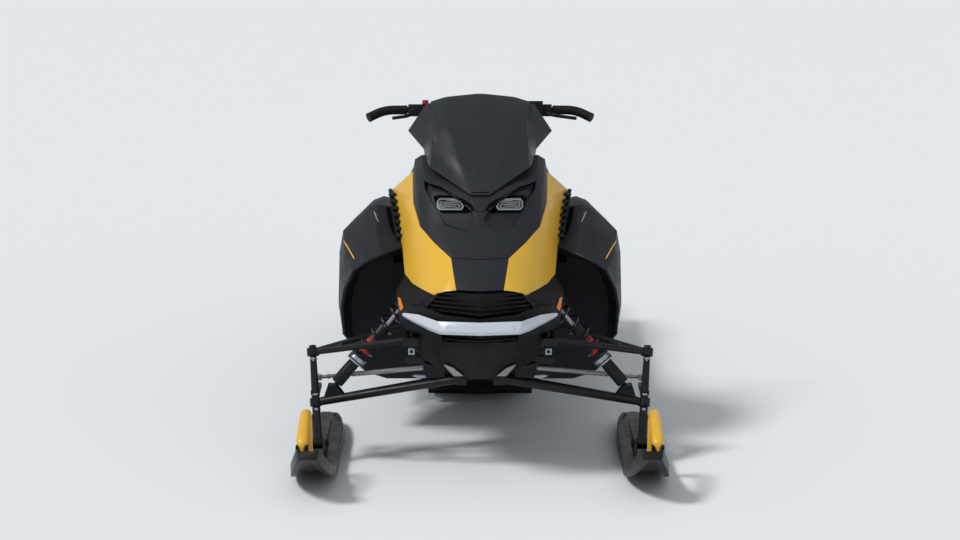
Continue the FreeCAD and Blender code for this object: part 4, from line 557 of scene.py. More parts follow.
def lay(name: str, shape: Shape, finish: Finish, bevel_mm: float = 0.0,
        body: str = "chassis") -> Object:
    """Makes a piece as new_piece does, turns its faces outwards and rounds its edges."""
    piece = new_piece(name, shape, finish, body)
    work = bmesh.new()
    work.from_mesh(piece.data)
    bmesh.ops.recalc_face_normals(work, faces=work.faces)
    work.to_mesh(piece.data)
    work.free()
    round_edges(piece, bevel_mm)
    LOG.info("piece %s: %d faces", name, len(piece.data.polygons))
    return piece


def read_points(mesh: Mesh) -> Array:
    """Returns a mesh's points, one row each."""
    points = np.empty(len(mesh.vertices) * 3)
    mesh.vertices.foreach_get("co", points)
    return points.reshape(-1, 3)


def write_points(mesh: Mesh, points: Array) -> None:
    """Puts points back into their mesh."""
    mesh.vertices.foreach_set("co", points.ravel())
    mesh.update()


def ray_tree(mesh: Mesh) -> BVHTree:
    """Returns the tree in which rays find a mesh."""
    return BVHTree.FromPolygons([v.co.copy() for v in mesh.vertices],
                                [list(p.vertices) for p in mesh.polygons])


class Skin:
    """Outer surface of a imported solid, for pieces that sit on it."""

    ahead_mm = -2500.0      # place in front of the machine where level rays start

    def __init__(self, node: str) -> None:
        """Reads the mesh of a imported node."""
        self.node = node
        self.tree = ray_tree(frame["nodes"][node].data)

    def cast(self, starts: Array, runs: Array) -> tuple[Array, Array]:
        """Finds where rays meet the surface.

        Args:
            starts: Starting points in millimetres.
            runs: Directions.

        Returns:
            Points in millimetres and outward normals; rays that miss are left out.
        """
        hits = [self.tree.ray_cast(Vector(s * MM), Vector(r)) for s, r in zip(starts, runs)]
        missed = sum(h[0] is None for h in hits)
        if missed:
            LOG.warning("%d of %d rays miss %s", missed, len(hits), self.node)
        found = [(h[0], h[1] if h[1].dot(Vector(r)) < 0 else -h[1])
                 for h, r in zip(hits, runs) if h[0] is not None]
        return np.array([tuple(p) for p, _ in found]) / MM, np.array([tuple(n) for _, n in found])

    def front(self, outline: Array) -> tuple[Array, Array]:
        """Finds points given across and up, where level rays meet the surface from ahead."""
        starts = np.insert(outline, 1, self.ahead_mm, 1)
        return self.cast(starts, np.tile([0.0, 1.0, 0.0], (len(outline), 1)))

    def seen(self, pixels: Array) -> tuple[Array, Array]:
        """Finds points given by where the photograph's camera sees them.

        The ray of a pixel is the camera's right, up and ahead directions, added in the ratio
        (across / focal length, up / focal length, 1).

        Args:
            pixels: Distances across and down in the picture.

        Returns:
            Points in millimetres and outward normals.
        """
        tilt = math.radians(Studio.tilt_deg)
        up = np.array([0.0, math.cos(tilt), math.sin(tilt)])
        ahead = np.array([0.0, math.sin(tilt), -math.cos(tilt)])
        across = (pixels[:, :1] - Studio.middle_px[0]) / Studio.focal_px
        rise = (Studio.middle_px[1] - pixels[:, 1:]) / Studio.focal_px
        runs = unit(across * np.array([1.0, 0.0, 0.0]) + rise * up + ahead)
        return self.cast(np.tile(np.array(Studio.place) / MM, (len(pixels), 1)), runs)


# Sub-assemblies
@dataclass
class SolidParts:
    """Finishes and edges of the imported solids.

    Attributes:
        nodes: The solids by name.
    """

    nodes: dict[str, Object] = field(default_factory=dict)

    def dress(self) -> None:
        """Gives every solid its finish and rounds its edges."""
        for name, node in self.nodes.items():
            finish, bevel_mm = NODE_FINISH[name.removesuffix("_left").removesuffix("_right")]
            paint(node, finish)
            round_edges(node, bevel_mm)
            LOG.info("solid %s: %s", name, finish.name)


@dataclass
class Face:
    """Painted shade lines and patches, lamp frames and trim on the bodywork, placed where the
    photograph shows them.

    Attributes:
        brow: Shadow line over the lamp, in pixels of the picture's left half.
        surround: Outline of the painted shade in the recess round the lamp.
        vent: Outline of the painted shade in the vent beside the yellow panel.
        glint: Pale mark on the pod.
        stripe: Yellow stripe on the pod.
        grooves: Lines of the painted shade in the belly's two grooves.
        lens: Frame of the left lamp, across and up in millimetres.
        inner: Size of the lamp's inner frame, as a share of the outer one.
        bars: Bars in the lamp.
        backing: Corners of the near-black sheet behind the left vent, painted shade seen through
            it.
        step_px: Distance between the points of a line, and of a ground's outline.
        step_mm: Distance between the points of a lamp's frame.
        lift_mm: Height of a patch of painted shade over its surface.
    """

    brow: tuple = ((423.8, 180.8), (432.0, 185.0), (438.3, 185.9), (455.0, 195.0), (470.0, 204.0),
                   (478.0, 212.5))
    surround: tuple = ((433.5, 196.5), (438.0, 195.0), (452.0, 195.6), (463.0, 198.4),
                       (472.0, 204.0), (474.6, 210.6), (468.0, 213.6), (459.0, 212.6),
                       (441.0, 212.6), (437.0, 207.0))
    vent: tuple = ((385.6, 205.8), (390.4, 205.2), (391.6, 212.0), (393.0, 220.0), (394.4, 228.0),
                   (396.2, 236.0), (393.4, 233.6), (390.4, 226.0), (387.8, 216.0))
    glint: tuple = ((374.6, 211.6), (376.6, 216.6), (378.8, 221.8))
    stripe: tuple = ((344.3, 241.0), (349.0, 248.5), (354.6, 258.5))
    grooves: tuple = (((432.5, 296.0), (426.0, 300.5), (419.5, 305.0)),
                      ((411.0, 305.0), (419.5, 305.0), (428.5, 307.5)))
    lens: tuple = ((55, 852), (62, 843.5), (133, 843.5), (140.5, 850), (140.5, 865.5), (133, 872.5),
                   (87, 872.5), (64, 862.5))
    inner: float = 0.74
    bars: tuple = (((70, 852), (124, 852)), ((76, 858), (124, 858)), ((84, 864), (124, 864)))
    backing: tuple = ((205, -640, 610), (296, -640, 610), (300, -560, 850), (236, -560, 868))
    step_px: tuple[float, float] = (1.5, 1.6)
    step_mm: float = 2.0
    lift_mm: float = 0.4

    def line(self, skin: Skin, pixels: tuple, width: float, high: float) -> Shape:
        """Strip along a line of the photograph, with its twin on the other side.

        Args:
            skin: Surface that carries it.
            pixels: Corners of the line in the picture's left half.
            width: Width of the strip.
            high: Height over the surface.

        Returns:
            Points and faces.
        """
        points, normals = skin.seen(closer(Studio.twin(pixels), self.step_px[0]))
        return both(ribbon(points, normals, width, high))

    def patch(self, skin: Skin, pixels: tuple) -> Shape:
        """Thin ground on a surface: centre + ring share * (outline - centre), lifted off the skin.

        Args:
            skin: Surface that carries it.
            pixels: Outline in the picture's left half.

        Returns:
            Points and faces, with the twin on the other side.
        """
        outline = closer(Studio.twin(pixels), self.step_px[1], closed=True)
        middle = outline.mean(axis=0)
        shares = np.linspace(1.0, 0.08, 8)
        points, normals = skin.seen(np.concatenate([middle + (outline - middle) * s
                                                    for s in shares]))
        count = len(outline)
        if len(points) != count * len(shares):
            raise ValueError("an outline leaves its surface")
        faces = grid_faces(len(shares), count, wrap_columns=True)
        faces.append(list(range((len(shares) - 1) * count, len(shares) * count)))
        return both((points + normals * self.lift_mm, faces))

    def lamps(self) -> None:
        """Makes the painted shade round each lamp, and the lamp's bright frame, inner frame and
        bars.
        """
        # Painted shade in the recess round each lamp.
        lay("lamp_painted_shade", self.patch(Skin("hood"), self.surround), SHADOW)
        skin = Skin("headlights")
        lens = np.asarray(self.lens, float)
        middle = lens.mean(axis=0)
        strips = []
        for share, width in ((1.0, 4.2), (self.inner, 2.2)):
            outline = closer(middle + (lens - middle) * share, self.step_mm, closed=True)
            strips.append(ribbon(*skin.front(outline), width, 1.2, closed=True))
        strips += [ribbon(*skin.front(closer(ends, self.step_mm)), 1.8, 0.9) for ends in self.bars]
        lay("lamp_frames", both(joined(strips)), LAMP_FRAME)

    def lines(self) -> None:
        """Makes the brow's painted shadow line, the painted shade in and behind the vents, the
        marks on the pods and the painted shade in the grooves.
        """
        hood, side, belly = Skin("hood"), Skin("side_panels"), Skin("belly_pan")
        # Painted shadow line along the brow over each lamp.
        lay("hood_brow_painted_shadow", self.line(hood, self.brow, 3.4, 0.5), SHADOW)
        # Painted shade in the vent beside the yellow panel.
        lay("vent_painted_shade", self.patch(side, self.vent), SHADOW)
        # A near-black sheet behind each vent: painted shade seen through it.
        sheet = np.array(self.backing, float)
        lay("vent_shade_sheets", both(prism(sheet + (0, 2, 0), sheet)), SHADOW)
        lay("pod_glints", self.line(side, self.glint, 4.2, 0.5), LAMP_FRAME)
        lay("pod_stripes", self.line(side, self.stripe, 5.0, 0.5), YELLOW)
        # Painted shade in the belly's two grooves.
        grooves = [self.line(belly, pixels, width, 0.4)
                   for pixels, width in zip(self.grooves, (3.6, 3.0))]
        lay("belly_groove_painted_shade", joined(grooves), SHADOW)

    def build(self) -> None:
        """Makes every line and frame."""
        self.lamps()
        self.lines()


@dataclass
class Windshield:
    """Smoked screen with a soft fold on each side, from the V at the hood to the rounded top.

    Attributes:
        middle: Points of the centre line, from the bottom up.
        fold: Points of the left fold.
        edge: Points of the left edge.
        size: Rows of the surface, and points in a row from the right edge to the left.
        row_window: Rows in an average that softens a line's bends.
        fold_window: Points in an average that softens the folds.
        wall_mm: Thickness.
        slot_row: Row that carries the painted shade of the slot over the V.
        slot_part: The first point of that row in the slot, and the one after the last.
    """

    middle: tuple = ((0, -892, 888), (0, -812, 981), (0, -722, 1064), (0, -626, 1142),
                     (0, -560, 1182))
    fold: tuple = ((31, -891, 888), (68, -811, 982), (98, -716, 1067), (119, -618, 1141),
                   (118, -561, 1170))
    edge: tuple = ((161, -811, 965), (160, -733, 1033), (158, -662, 1098), (164, -596, 1145),
                   (169, -565, 1154))
    size: tuple[int, int] = (56, 97)
    row_window: int = 17
    fold_window: int = 15
    wall_mm: float = 3.2
    slot_row: int = 1
    slot_part: tuple[int, int] = (28, 69)

    def upright(self, line: tuple) -> Array:
        """Points of a line from bottom to top, eased where it bends."""
        places = np.arange(len(line))
        marks = np.linspace(0, places[-1], self.size[0])
        return eased(along(marks, places, np.asarray(line, float)), self.row_window)

    def surface(self) -> Array:
        """Straight runs between centre, fold and edge, softened by averaging across the folds.

        Returns:
            Points in rows and columns.
        """
        lines = np.stack([self.upright(p) for p in (self.middle, self.fold, self.edge)], 1)
        marks = np.linspace(-2, 2, self.size[1])
        share = np.abs(marks)
        lower = np.minimum(share.astype(int), 1)
        part = (share - lower)[None, :, None]
        grid = lines[:, lower] * (1 - part) + lines[:, lower + 1] * part
        grid[..., 0] *= np.where(marks < 0, -1.0, 1.0)
        return eased(grid.swapaxes(0, 1), self.fold_window).swapaxes(0, 1)

    def build(self) -> None:
        """Makes the screen and the painted shade of the slot at its foot."""
        grid = self.surface()
        piece = new_piece("smoked_screen", (grid.reshape(-1, 3), grid_faces(*self.size)), SCREEN)
        wall = piece.modifiers.new("wall", "SOLIDIFY")
        wall.thickness = self.wall_mm * MM
        wall.offset = 1.0 if piece.data.polygons[0].normal.y > 0 else -1.0
        round_edges(piece, 1.2, 50.0)
        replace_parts(piece, "windshield")
        under, slot, over = grid[self.slot_row - 1:self.slot_row + 2, slice(*self.slot_part)]
        normals = unit(np.cross(np.gradient(slot, axis=0), over - under))
        normals *= -np.sign(normals[:, 1:2])
        # Painted shade in the slot over the V.
        lay("screen_slot_painted_shade", ribbon(slot, normals, 4.6, 0.4), SHADOW)
        LOG.info("piece smoked_screen: %d faces", len(piece.data.polygons))


@dataclass
class CoilOver:
    """Coil springs and bright details of the front shocks.

    Attributes:
        low: Lower eye of the left shock.
        high: Upper eye.
        coil_mm: Radius of the coil's middle.
        wire_mm: Radius of the wire.
        turns: Turns of the coil.
        end_turns: Turns over which each end closes.
        end_pitch: Rise of a closed turn, next to 1 more for an open one.
        coil_from: Distance of the coil's start from the lower eye.
        coil_to: Distance of its end.
    """

    low: tuple = (490.0, -990.0, 256.0)
    high: tuple = (240.0, -965.0, 545.0)
    coil_mm: float = 29.0
    wire_mm: float = 3.6
    turns: float = 5.2
    end_turns: float = 1.2
    end_pitch: float = 0.12
    coil_from: float = 142.0
    coil_to: float = 345.0

    def coil(self) -> Shape:
        """Helix: low + axis * (from + span * t) + coil radius * (cos, sin) of 2 pi * turns * t."""
        low, high = np.array(self.low), np.array(self.high)
        axis = unit(high - low)
        u = unit(np.cross(axis, [0.0, 1.0, 0.0]))
        v = np.cross(axis, u)
        t = np.linspace(0, 1, 160)
        opens, closes = (np.clip(s * self.turns / self.end_turns, 0, 1) for s in (t, 1 - t))
        rise = np.cumsum(self.end_pitch + opens * closes)
        rise = (rise - rise[0]) / (rise[-1] - rise[0])
        turn = 2 * np.pi * self.turns * t
        path = (low + axis * (self.coil_from + (self.coil_to - self.coil_from) * rise)[:, None]
                + self.coil_mm * (np.cos(turn)[:, None] * u + np.sin(turn)[:, None] * v))
        return swept(path, self.wire_mm, 12, tuple(axis))

    def build(self) -> None:
        """Makes the coils, collars, shafts, caps and red bands."""
        ends = self.low, self.high
        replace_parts(lay("coil_springs", both(self.coil()), SPRING_BLACK), "springs")
        rings = ((114, 24), (115, 30.6), (120, 31.2), (121, 29.4), (124, 29.4), (125, 31.2),
                 (132, 31.2), (134, 30.6), (138.2, 30.6), (138.4, 22))
        lay("preload_collars", both(turned(*ends, rings)), BRIGHT)
        lay("damper_shafts", both(collar(*ends, 268, 346, 7.2, 0.5, 24)), BRIGHT)
        cap = ((23.6, 12), (23.6, 20.2), (27, 21), (84, 21), (90, 20.4), (104, 20.3))
        lay("lower_shock_caps", both(turned(*ends, cap)), POWDER)
        bands = [collar(*ends, *band, 18)
                 for band in ((160, 172, 19.5), (196, 208, 19.6), (212, 215, 19.5))]
        lay("shock_bands", both(joined(bands)), RED)


@dataclass
class FrontArms:
    """Webs, ball studs and steering rods of the front suspension.

    Attributes:
        upper_ball: Left upper ball joint.
        upper_front: Front pivot of the upper arm.
        upper_rear: Rear pivot.
        lower_ball: Left lower ball joint.
        tie_out: Outer end of the left tie rod.
        tie_in: Inner end.
        web: Share of the tubes that the web reaches along.
        hollow: Depth of its hollow inner edge, as a share of the tubes.
        start: Share of the tubes at which the web starts.
        half_mm: Half the web's thickness.
    """

    upper_ball: tuple = (557.0, -932.0, 364.0)
    upper_front: tuple = (240.0, -1112.0, 446.0)
    upper_rear: tuple = (240.0, -880.0, 446.0)
    lower_ball: tuple = (545.0, -995.0, 208.0)
    tie_out: tuple = (543.0, -885.0, 266.0)
    tie_in: tuple = (128.0, -885.0, 304.4)
    web: float = 0.47
    hollow: float = 0.17
    start: float = 0.05
    half_mm: float = 4.0

    def upper_web(self) -> Shape:
        """Plate between the tubes: ball + t * ((1 - s) * front tube + s * rear tube)."""
        ball = np.array(self.upper_ball)
        front, rear = np.array(self.upper_front) - ball, np.array(self.upper_rear) - ball
        s = np.linspace(0, 1, 24)[:, None]
        reach = self.web - self.hollow * np.sin(np.pi * s) ** 0.8 - self.start
        t = self.start + reach * np.linspace(0, 1, 10)[:, None, None]
        grid = ball + t * ((1 - s) * front + s * rear)
        up = unit(np.cross(front, rear))
        up *= np.sign(up[2]) * self.half_mm
        number = np.arange(grid[..., 0].size).reshape(grid.shape[:2])
        rim = (number[0, :-1], number[:-1, -1], number[-1, :0:-1], number[:0:-1, 0])
        edge = np.concatenate(rim).tolist()
        top = grid_faces(*number.shape)
        under = [[c + number.size for c in f][::-1] for f in top]
        walls = [[a, b, b + number.size, a + number.size]
                 for a, b in zip(edge, edge[1:] + edge[:1])]
        points = np.concatenate([grid + up, grid - up]).reshape(-1, 3)
        return points, top + under + walls

    def build(self) -> None:
        """Makes the webs, the rods and the studs with their nuts."""
        lay("upper_arm_webs", both(self.upper_web()), POWDER, 1.5)
        rod, joints = (self.tie_out, self.tie_in), (self.lower_ball, self.upper_ball)
        length, high = (math.dist(*ends) for ends in (rod, joints))
        tube = ((112, 4), (112, 5.9), (118, 8.3), (126, 8.5), (length - 22, 8.5), (length - 20, 4))
        thin = ((16, 3), (16, 6.1), (30, 6.1), (30.5, 8.2), (38, 8.2), (38.5, 6.1), (113, 6.1),
                (113, 3))
        nuts = ((21, 27, 15.0), (27, 31, 12.0), (-29, -22, 14.0),
                (high - 26, high - 20, 12.5), (high - 32, high - 26, 10.5))
        studs = joined([collar(*joints, *nut, 4) for nut in nuts])
        for side in SIDES:
            for name, shape, body in (("tie_rod_tube", turned(*rod, tube, 28), "tie_rod"),
                                      ("tie_rod_end", turned(*rod, thin, 28), "tie_rod"),
                                      ("ball_studs", studs, "knuckle")):
                lay(f"{name}_{side}", sided(shape, side), BRIGHT, body=f"{body}_{side}")


@dataclass
class NoseFittings:
    """Small bright brackets and bolt heads round the lower nose.

    Attributes:
        bracket: Centre of the left square bracket, in millimetres.
        plate: Corners of the plate under it, across and up.
        side_plate: Corners of the frame's side plate behind the tie rod.
        tab: Corners of the bare metal tab on it.
        bolts: Bolt heads on the castings: pixel and radius.
    """

    bracket: tuple = (226.0, -1014.0, 385.0)
    plate: tuple = ((160.0, 348.0), (246.0, 342.0), (246.0, 366.0), (206.0, 371.0), (176.0, 366.0))
    side_plate: tuple = ((118.0, 262.0), (196.0, 256.0), (236.0, 262.0), (240.0, 300.0),
                         (226.0, 340.0), (118.0, 346.0))
    tab: tuple = ((180.0, 261.0), (206.0, 257.0), (229.0, 266.0), (222.0, 272.0), (186.0, 270.0))
    bolts: tuple = (((455.4, 371.4), 4.5), ((451.4, 367.6), 3.0))

    def square(self) -> Shape:
        """Square frame: the same square at four sizes, joined front, outside, back and inside."""
        corners = np.array([(-1, 0, -1), (1, 0, -1), (1, 0, 1), (-1, 0, 1)], float)
        rings = [self.bracket + corners * (half, 0, half) + np.array([0.0, y, 0.0])
                 for half, y in ((11.0, -3.0), (11.0, 3.0), (5.0, 3.0), (5.0, -3.0))]
        return np.concatenate(rings), grid_faces(4, 4, True, True)

    def build(self) -> None:
        """Makes the brackets, the plates and the bolt heads."""
        lay("tow_brackets", both(self.square()), BRIGHT, 1.2)
        for name, outline, front, finish, slot, bevel_mm, thick in (
                ("bracket_plates", self.plate, -1018, POWDER, "black_metal", 1.0, 6),
                ("frame_side_plates", self.side_plate, -868, POWDER, "black_metal", 1.0, 6),
                ("frame_tabs", self.tab, -871, BRIGHT, "steel", 0.6, 4)):
            near, far = (np.insert(np.array(outline), 1, y, 1) for y in (front, front + thick))
            lay(name, both(prism(near, far)), finish, bevel_mm)
        heads = []
        for pixel, radius in self.bolts:
            (place,), (run,) = Skin("castings").seen(Studio.twin([pixel]))
            profile = ((-1.0, 0.5), (-1.0, radius), (1.6, radius), (2.2, radius * 0.8), (2.2, 0.5))
            heads.append(turned(place, place + run, profile, 12))
        lay("bolt_heads", both(joined(heads)), BRIGHT)


@dataclass
class SkiLoops:
    """Moulded loops on the ski tips, and the two black clips that hold each front foot.

    Attributes:
        middle_mm: Distance of the left loop's middle from the centre plane.
        rows: Corners of its centre line from the front foot: distance back, height, half width
            and half height of the section.
        window: Points in an average that rounds the corners.
        sides: Points round the section.
        clip: Lowest and highest corner of the outer clip, across from the loop's middle.
    """

    middle_mm: float = 560.5
    rows: tuple = ((-1475, 163, 10, 12), (-1471, 180, 10, 13), (-1466, 194, 19, 15),
                   (-1448, 207, 19, 13.5), (-1330, 239, 17.5, 13.2), (-1268, 243, 17, 13),
                   (-1228, 221, 17, 13.5), (-1184, 47, 16.5, 17))
    window: int = 13
    sides: int = 32
    clip: tuple = ((11.6, -1490, 161), (19.6, -1462, 191))

    def loop(self) -> Shape:
        """Bar with an oval section: a round one as high as it, widened about the middle."""
        rows = np.asarray(self.rows, float)
        run = lengths(rows[:, :2])
        rows = eased(along(np.linspace(0, run[-1], 150), run, rows), self.window)
        path = np.insert(rows[:, :2], 0, self.middle_mm, 1)
        points, faces = swept(path, rows[:, 3], self.sides, (1, 0, 0))
        wider = np.repeat(rows[:, 2] / rows[:, 3], self.sides)
        points[:, 0] = self.middle_mm + (points[:, 0] - self.middle_mm) * wider
        return points, faces

    def clips(self) -> Shape:
        """Two upright blocks, one on each side of the front foot."""
        low, high = np.array(self.clip, float)
        near = low + np.array([(0, 0, 0), (1, 0, 0), (1, 1, 0), (0, 1, 0)]) * (high - low)
        points, faces = both(prism(near, near + (0, 0, high[2] - low[2])))
        return points + (self.middle_mm, 0, 0), faces

    def build(self) -> None:
        """Makes both loops and their clips."""
        for side in SIDES:
            body = f"ski_{side}"
            loop = lay(f"moulded_loop_{side}", sided(self.loop(), side), YELLOW,
                       body=body)
            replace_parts(loop, f"ski_handle_{side}")
            lay(f"loop_clips_{side}", sided(self.clips(), side), TEXTURED, 2.0, body)


@dataclass
class Bars:
    """Ribbed grips and the stop button's cap.

    Attributes:
        start: Inner end of the left grip.
        bend: Where the grip turns.
        tip: Outer end.
        radius_mm: Radius under the ribs.
        rib_mm: Distance between two ribs.
        curve: Shares of the two straight runs that the curve between them takes up.
        rib_high: Height of the ribs.
        end_mm: Length of the plain collar at each end.
        end_high: Height of the collar.
        button: Foot of the stop button.
    """

    start: tuple = (252.4, -385.0, 1099.0)
    bend: tuple = (332.0, -385.0, 1099.0)
    tip: tuple = (386.0, -419.0, 1077.0)
    radius_mm: float = 15.2
    rib_mm: float = 6.0
    curve: tuple[float, float] = (0.45, 0.55)
    rib_high: float = 1.0
    end_mm: float = 7.0
    end_high: float = 1.4
    button: tuple = (-190.0, -385.0, 1122.0)

    def build(self) -> None:
        """Path (1 - t)^2 * start + 2 t (1 - t) * bend + t^2 * tip, pulled towards the bend."""
        a, b, c = (np.array(p) for p in (self.start, self.bend, self.tip))
        near, far = b + (a - b) * self.curve[0], b + (c - b) * self.curve[1]
        t = np.linspace(0, 1, 60)[:, None]
        curve = (1 - t) ** 2 * near + 2 * t * (1 - t) * b + t ** 2 * far
        path = closer(np.concatenate([[a], curve, [c]]), 1.0)
        run = lengths(path)
        plain = (run < self.end_mm) | (run > run[-1] - self.end_mm)
        wave = np.abs(np.sin(np.pi * run / self.rib_mm)) ** 0.6
        ribs = np.where(plain, self.end_high, self.rib_high * wave)
        grips = lay("ribbed_grips", both(swept(path, self.radius_mm + ribs, 28)), GRIP,
                    body="handlebar")
        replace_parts(grips, "grips")
        foot = np.array(self.button)
        cap = turned(foot, foot + (0, 0, 1), ((0, 4), (0, 11.2), (9, 11.2), (11.4, 9.8),
                                              (11.6, 4)), 28)
        lay("stop_button", cap, RED, body="handlebar")


@dataclass
class Seat:
    """Soft saddle with a raised rear edge, from half sections between the tank and the rear.

    Attributes:
        sections: Distance back, then half widths and heights from the base to the crown.
        base_mm: Height of the tunnel's top under the saddle.
        inset_mm: Distance of the modelled shell inside the sections.
        crown_mm: Rise of the crown's middle over its edge.
        pressure: Pressure in the cloth simulation.
        frames: Steps of the simulation.
        cloth_cap_mm: Farthest that a point may swell.
        kept: Share of the swelling that is kept.
        rest_mm: Heights over the base between which the swelling sets in.
        ends_mm: Foremost and rearmost places of the swollen cover.
        seams: Places of the sewn channels across the seat.
        seam_half: Half the distance between the two long channels.
        welt_y: Ends of the welts.
        welt_drop: Their distance under the shoulder of the sections.
        welt_mm: Their radius.
    """

    sections: tuple = (
        (-80, ((150, 501), (172, 640), (150, 735), (95, 785))),
        (150, ((172, 501), (182, 640), (152, 722), (105, 765))),
        (420, ((185, 501), (192, 640), (162, 730), (118, 770))),
        (560, ((185, 501), (194, 650), (168, 755), (124, 792))),
        (720, ((182, 501), (186, 650), (160, 760), (118, 800))),
        (850, ((165, 501), (160, 640), (132, 745), (92, 790))))
    base_mm: float = 501.0
    inset_mm: float = 5.0
    crown_mm: float = 8.0
    voxel_mm: tuple[float, float] = (8.5, 11.0)
    pressure: float = 4.0
    frames: int = 20
    cloth_cap_mm: float = 24.0
    kept: float = 0.55
    rest_mm: tuple[float, float] = (20.0, 70.0)
    ends_mm: tuple[float, float] = (-78.5, 856.0)
    seams: tuple = (300, 380, 460)
    seam_half: float = 88.0
    welt_y: tuple[float, float] = (-60.0, 815.0)
    welt_drop: float = 12.0
    welt_mm: float = 3.0

    def shell(self) -> Shape:
        """Section points between the rows of the table, with straight runs between them.

        Returns:
            Points and faces of the closed shell.
        """
        stations = np.array([row[0] for row in self.sections], float)
        half = np.array([row[1] for row in self.sections], float)
        y = np.linspace(stations[0] + 6, stations[-1] - 6, 48)
        marks = np.concatenate([np.linspace(0, 1, 6), np.linspace(1, 2, 5)[1:],
                                np.linspace(2, 3, 5)[1:]])
        xs, zs = (along(marks, np.arange(4), along(y, stations, half[..., k]).T).T for k in (0, 1))
        crown = np.linspace(1, 0, 8)[1:]
        xs = np.concatenate([xs, xs[:, -1:] * crown], 1)
        zs = np.concatenate([zs, zs[:, -1:] + self.crown_mm * (1 - crown ** 2)], 1)
        xs = xs - self.inset_mm * np.sign(xs)
        zs = np.clip(zs - self.inset_mm, self.base_mm, None)
        xs = np.concatenate([xs, -xs[:, -2::-1]], 1)
        zs = np.concatenate([zs, zs[:, -2::-1]], 1)
        points = np.stack([xs, np.broadcast_to(y[:, None], xs.shape), zs], 2)
        return points.reshape(-1, 3), tube_faces(*xs.shape)

    def swell(self, piece: Object) -> None:
        """Blows the saddle up a little with a cloth simulation and keeps part of the result.

        Args:
            piece: The saddle as modelled.
        """
        remesh = piece.modifiers.new("even_mesh", "REMESH")
        remesh.mode = "VOXEL"
        remesh.voxel_size = self.voxel_mm[0] * MM
        self.apply(piece)
        before = read_points(piece.data)
        settings = piece.modifiers.new("vinyl", "CLOTH").settings
        settings.use_pressure = True
        settings.uniform_pressure_force = self.pressure
        settings.effector_weights.gravity = 0.0
        settings.quality = 5
        for number in range(1, self.frames + 1):
            bpy.context.scene.frame_set(number)
        self.apply(piece)
        bpy.context.scene.frame_set(1)
        move = read_points(piece.data) - before
        size = np.linalg.norm(move, axis=1, keepdims=True)
        move *= np.minimum(1.0, self.cloth_cap_mm * MM / np.maximum(size, 1e-9)) * self.kept
        low, high = self.rest_mm
        free = np.clip((before[:, 2:] / MM - self.base_mm - low) / (high - low), 0, 1)
        after = before + move * free
        after[:, 2] = np.maximum(after[:, 2], self.base_mm * MM)
        after[:, 1] = np.clip(after[:, 1], *(end * MM for end in self.ends_mm))
        write_points(piece.data, after)

    def apply(self, piece: Object) -> None:
        """Turns the piece's modifiers into its mesh."""
        graph = bpy.context.evaluated_depsgraph_get()
        graph.update()
        mesh = bpy.data.meshes.new_from_object(piece.evaluated_get(graph), depsgraph=graph)
        piece.modifiers.clear()
        old, piece.data = piece.data, mesh
        bpy.data.meshes.remove(old)

    def channels(self, piece: Object) -> None:
        """Presses the sewn channels in: depth * exp(-(distance / width)^2) along each seam."""
        points = read_points(piece.data)
        x, y, z = points.T / MM

        def groove(away: Array, width: float, depth: float, low: float, high: float) -> Array:
            """Depth beside one seam, which sets in between two heights."""
            return depth * np.exp(-(away / width) ** 2) * np.clip((z - low) / (high - low), 0, 1)

        press = sum(groove(y - seam, 7.0, 5.0, 700, 730) for seam in self.seams)
        press += groove(np.abs(x) - self.seam_half, 6.0, 4.0, 740, 760)
        points[:, 2] -= press * MM
        write_points(piece.data, points)

    def piping(self, piece: Object) -> None:
        """Lays a welt along each side where the top meets the bolster.

        Args:
            piece: The finished saddle.
        """
        tree = ray_tree(piece.data)
        rows = np.array([(back, shoulder[1]) for back, (_, _, shoulder, _) in self.sections])
        y = np.linspace(*self.welt_y, 90)
        z = np.interp(y, *rows.T) - self.welt_drop
        hits = [tree.ray_cast(Vector((0.4, a * MM, b * MM)), Vector((-1, 0, 0)))[0]
                for a, b in zip(y, z)]
        path = np.array([tuple(h) for h in hits if h is not None]) / MM
        path[3:-3, 0] = np.convolve(path[:, 0], np.ones(7) / 7, "valid")
        lay("seat_welts", both(swept(path, self.welt_mm, 10)), GRIP)

    def build(self) -> None:
        """Makes the saddle, its channels and its welts."""
        piece = new_piece("saddle", self.shell(), COVER)
        piece.parent = None
        self.swell(piece)
        self.channels(piece)
        paint(piece, COVER)
        for polygon in piece.data.polygons:
            polygon.use_smooth = True
        smooth = piece.modifiers.new("smooth", "SUBSURF")
        smooth.levels = smooth.render_levels = 1
        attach(piece, "chassis")
        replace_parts(piece, "seat")
        self.piping(piece)
        LOG.info("saddle: %d faces", len(piece.data.polygons))


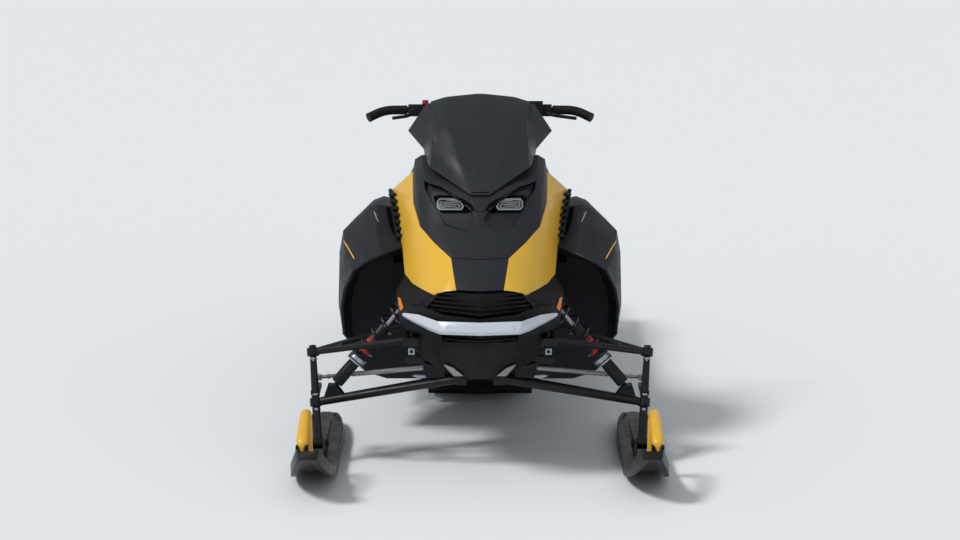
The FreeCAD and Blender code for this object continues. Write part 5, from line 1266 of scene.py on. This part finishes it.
@dataclass
class Studio:
    """Camera, lamps, floor and world.

    Attributes:
        lens_mm: Focal length.
        place: Camera's place in metres.
        tilt_deg: Camera's tilt from straight down.
        focal_px: Focal length in the photograph's pixels.
        middle_px: Pixel on the camera's axis.
        twins_px: Sum of a pixel's distance across and its twin's.
        floor_m: Half the floor's edge.
        sky: Strength of the sky as light, and as the camera sees it.
    """

    lens_mm: float = 100.0
    place: tuple[float, float, float] = (0.0, -9.585, 2.416)
    tilt_deg: float = 78.42
    focal_px: float = 2666.67
    middle_px: tuple[float, float] = (480.0, 270.0)
    twins_px: float = 960.5
    floor_m: float = 60.0
    sky: tuple[float, float] = (0.5, 0.93)

    @staticmethod
    def twin(pixels: tuple | list) -> Array:
        """Returns pixels of the picture's left half on its right half."""
        return np.array([Studio.twins_px, 0.0]) - np.asarray(pixels, float) * (1, -1)

    def camera(self) -> None:
        """Makes the camera at the photograph's angle."""
        data = bpy.data.cameras.new("camera")
        data.lens = self.lens_mm
        data.sensor_width = 36.0
        data.clip_end = 200.0
        camera = bpy.data.objects.new("camera", data)
        camera.location = self.place
        camera.rotation_euler = (math.radians(self.tilt_deg), 0, 0)
        bpy.context.scene.collection.objects.link(camera)
        bpy.context.scene.camera = camera

    def sun(self, name: str, towards: tuple, strength: float, soft_deg: float) -> None:
        """Makes a far lamp with soft shadows, which lights the whole floor evenly.

        Args:
            name: Name of the lamp.
            towards: Direction in which its light runs.
            strength: Power per square metre.
            soft_deg: Angle that the lamp fills in the sky.
        """
        data = bpy.data.lights.new(name, "SUN")
        data.energy = strength
        data.angle = math.radians(soft_deg)
        lamp = bpy.data.objects.new(name, data)
        lamp.rotation_euler = Vector(towards).to_track_quat("-Z", "Y").to_euler()
        bpy.context.scene.collection.objects.link(lamp)

    def floor(self) -> None:
        """Makes a large pale floor, matt enough to carry no reflection."""
        span = self.floor_m
        mesh = bpy.data.meshes.new("floor")
        mesh.from_pydata([(-span, -span, 0), (span, -span, 0), (span, span, 0), (-span, span, 0)],
                         [], [(0, 1, 2, 3)])
        floor = bpy.data.objects.new("floor", mesh)
        bpy.context.scene.collection.objects.link(floor)
        material = bpy.data.materials.new("pale_floor")
        material.use_nodes = True
        shader = material.node_tree.nodes["Principled BSDF"]
        for name, value in (("Base Color", linear("#EDF0F3")), ("Roughness", 0.9),
                            ("Specular IOR Level", 0.1)):
            shader.inputs[name].default_value = value
        mesh.materials.append(material)

    def world(self) -> None:
        """Makes an even pale sky, brighter to the camera than as light."""
        world = bpy.data.worlds.new("sky")
        world.use_nodes = True
        tree = world.node_tree
        background = tree.nodes["Background"]
        background.inputs["Color"].default_value = linear("#E9EEF3")
        seen = add(tree, "ShaderNodeLightPath").outputs["Is Camera Ray"]
        level = add(tree, "ShaderNodeMix", {0: seen, LEVEL_A: self.sky[0], LEVEL_B: self.sky[1]},
                    data_type="FLOAT")
        tree.links.new(level.outputs[0], background.inputs["Strength"])
        bpy.context.scene.world = world

    def build(self) -> None:
        """Makes the whole studio."""
        self.camera()
        self.floor()
        self.world()
        self.sun("key", (0.9, 0.45, -1.25), 1.9, 14.0)
        self.sun("fill", (-0.8, 0.9, -0.5), 0.25, 60.0)
        bpy.context.scene.view_settings.view_transform = "Standard"


def main() -> None:
    """Builds every sub-assembly and reports each piece."""
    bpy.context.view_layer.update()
    Studio().build()
    SolidParts(frame["nodes"]).dress()
    for assembly in (Face, Windshield, CoilOver, FrontArms, NoseFittings, SkiLoops, Bars, Seat):
        assembly().build()


if __name__ == "__main__":
    main()
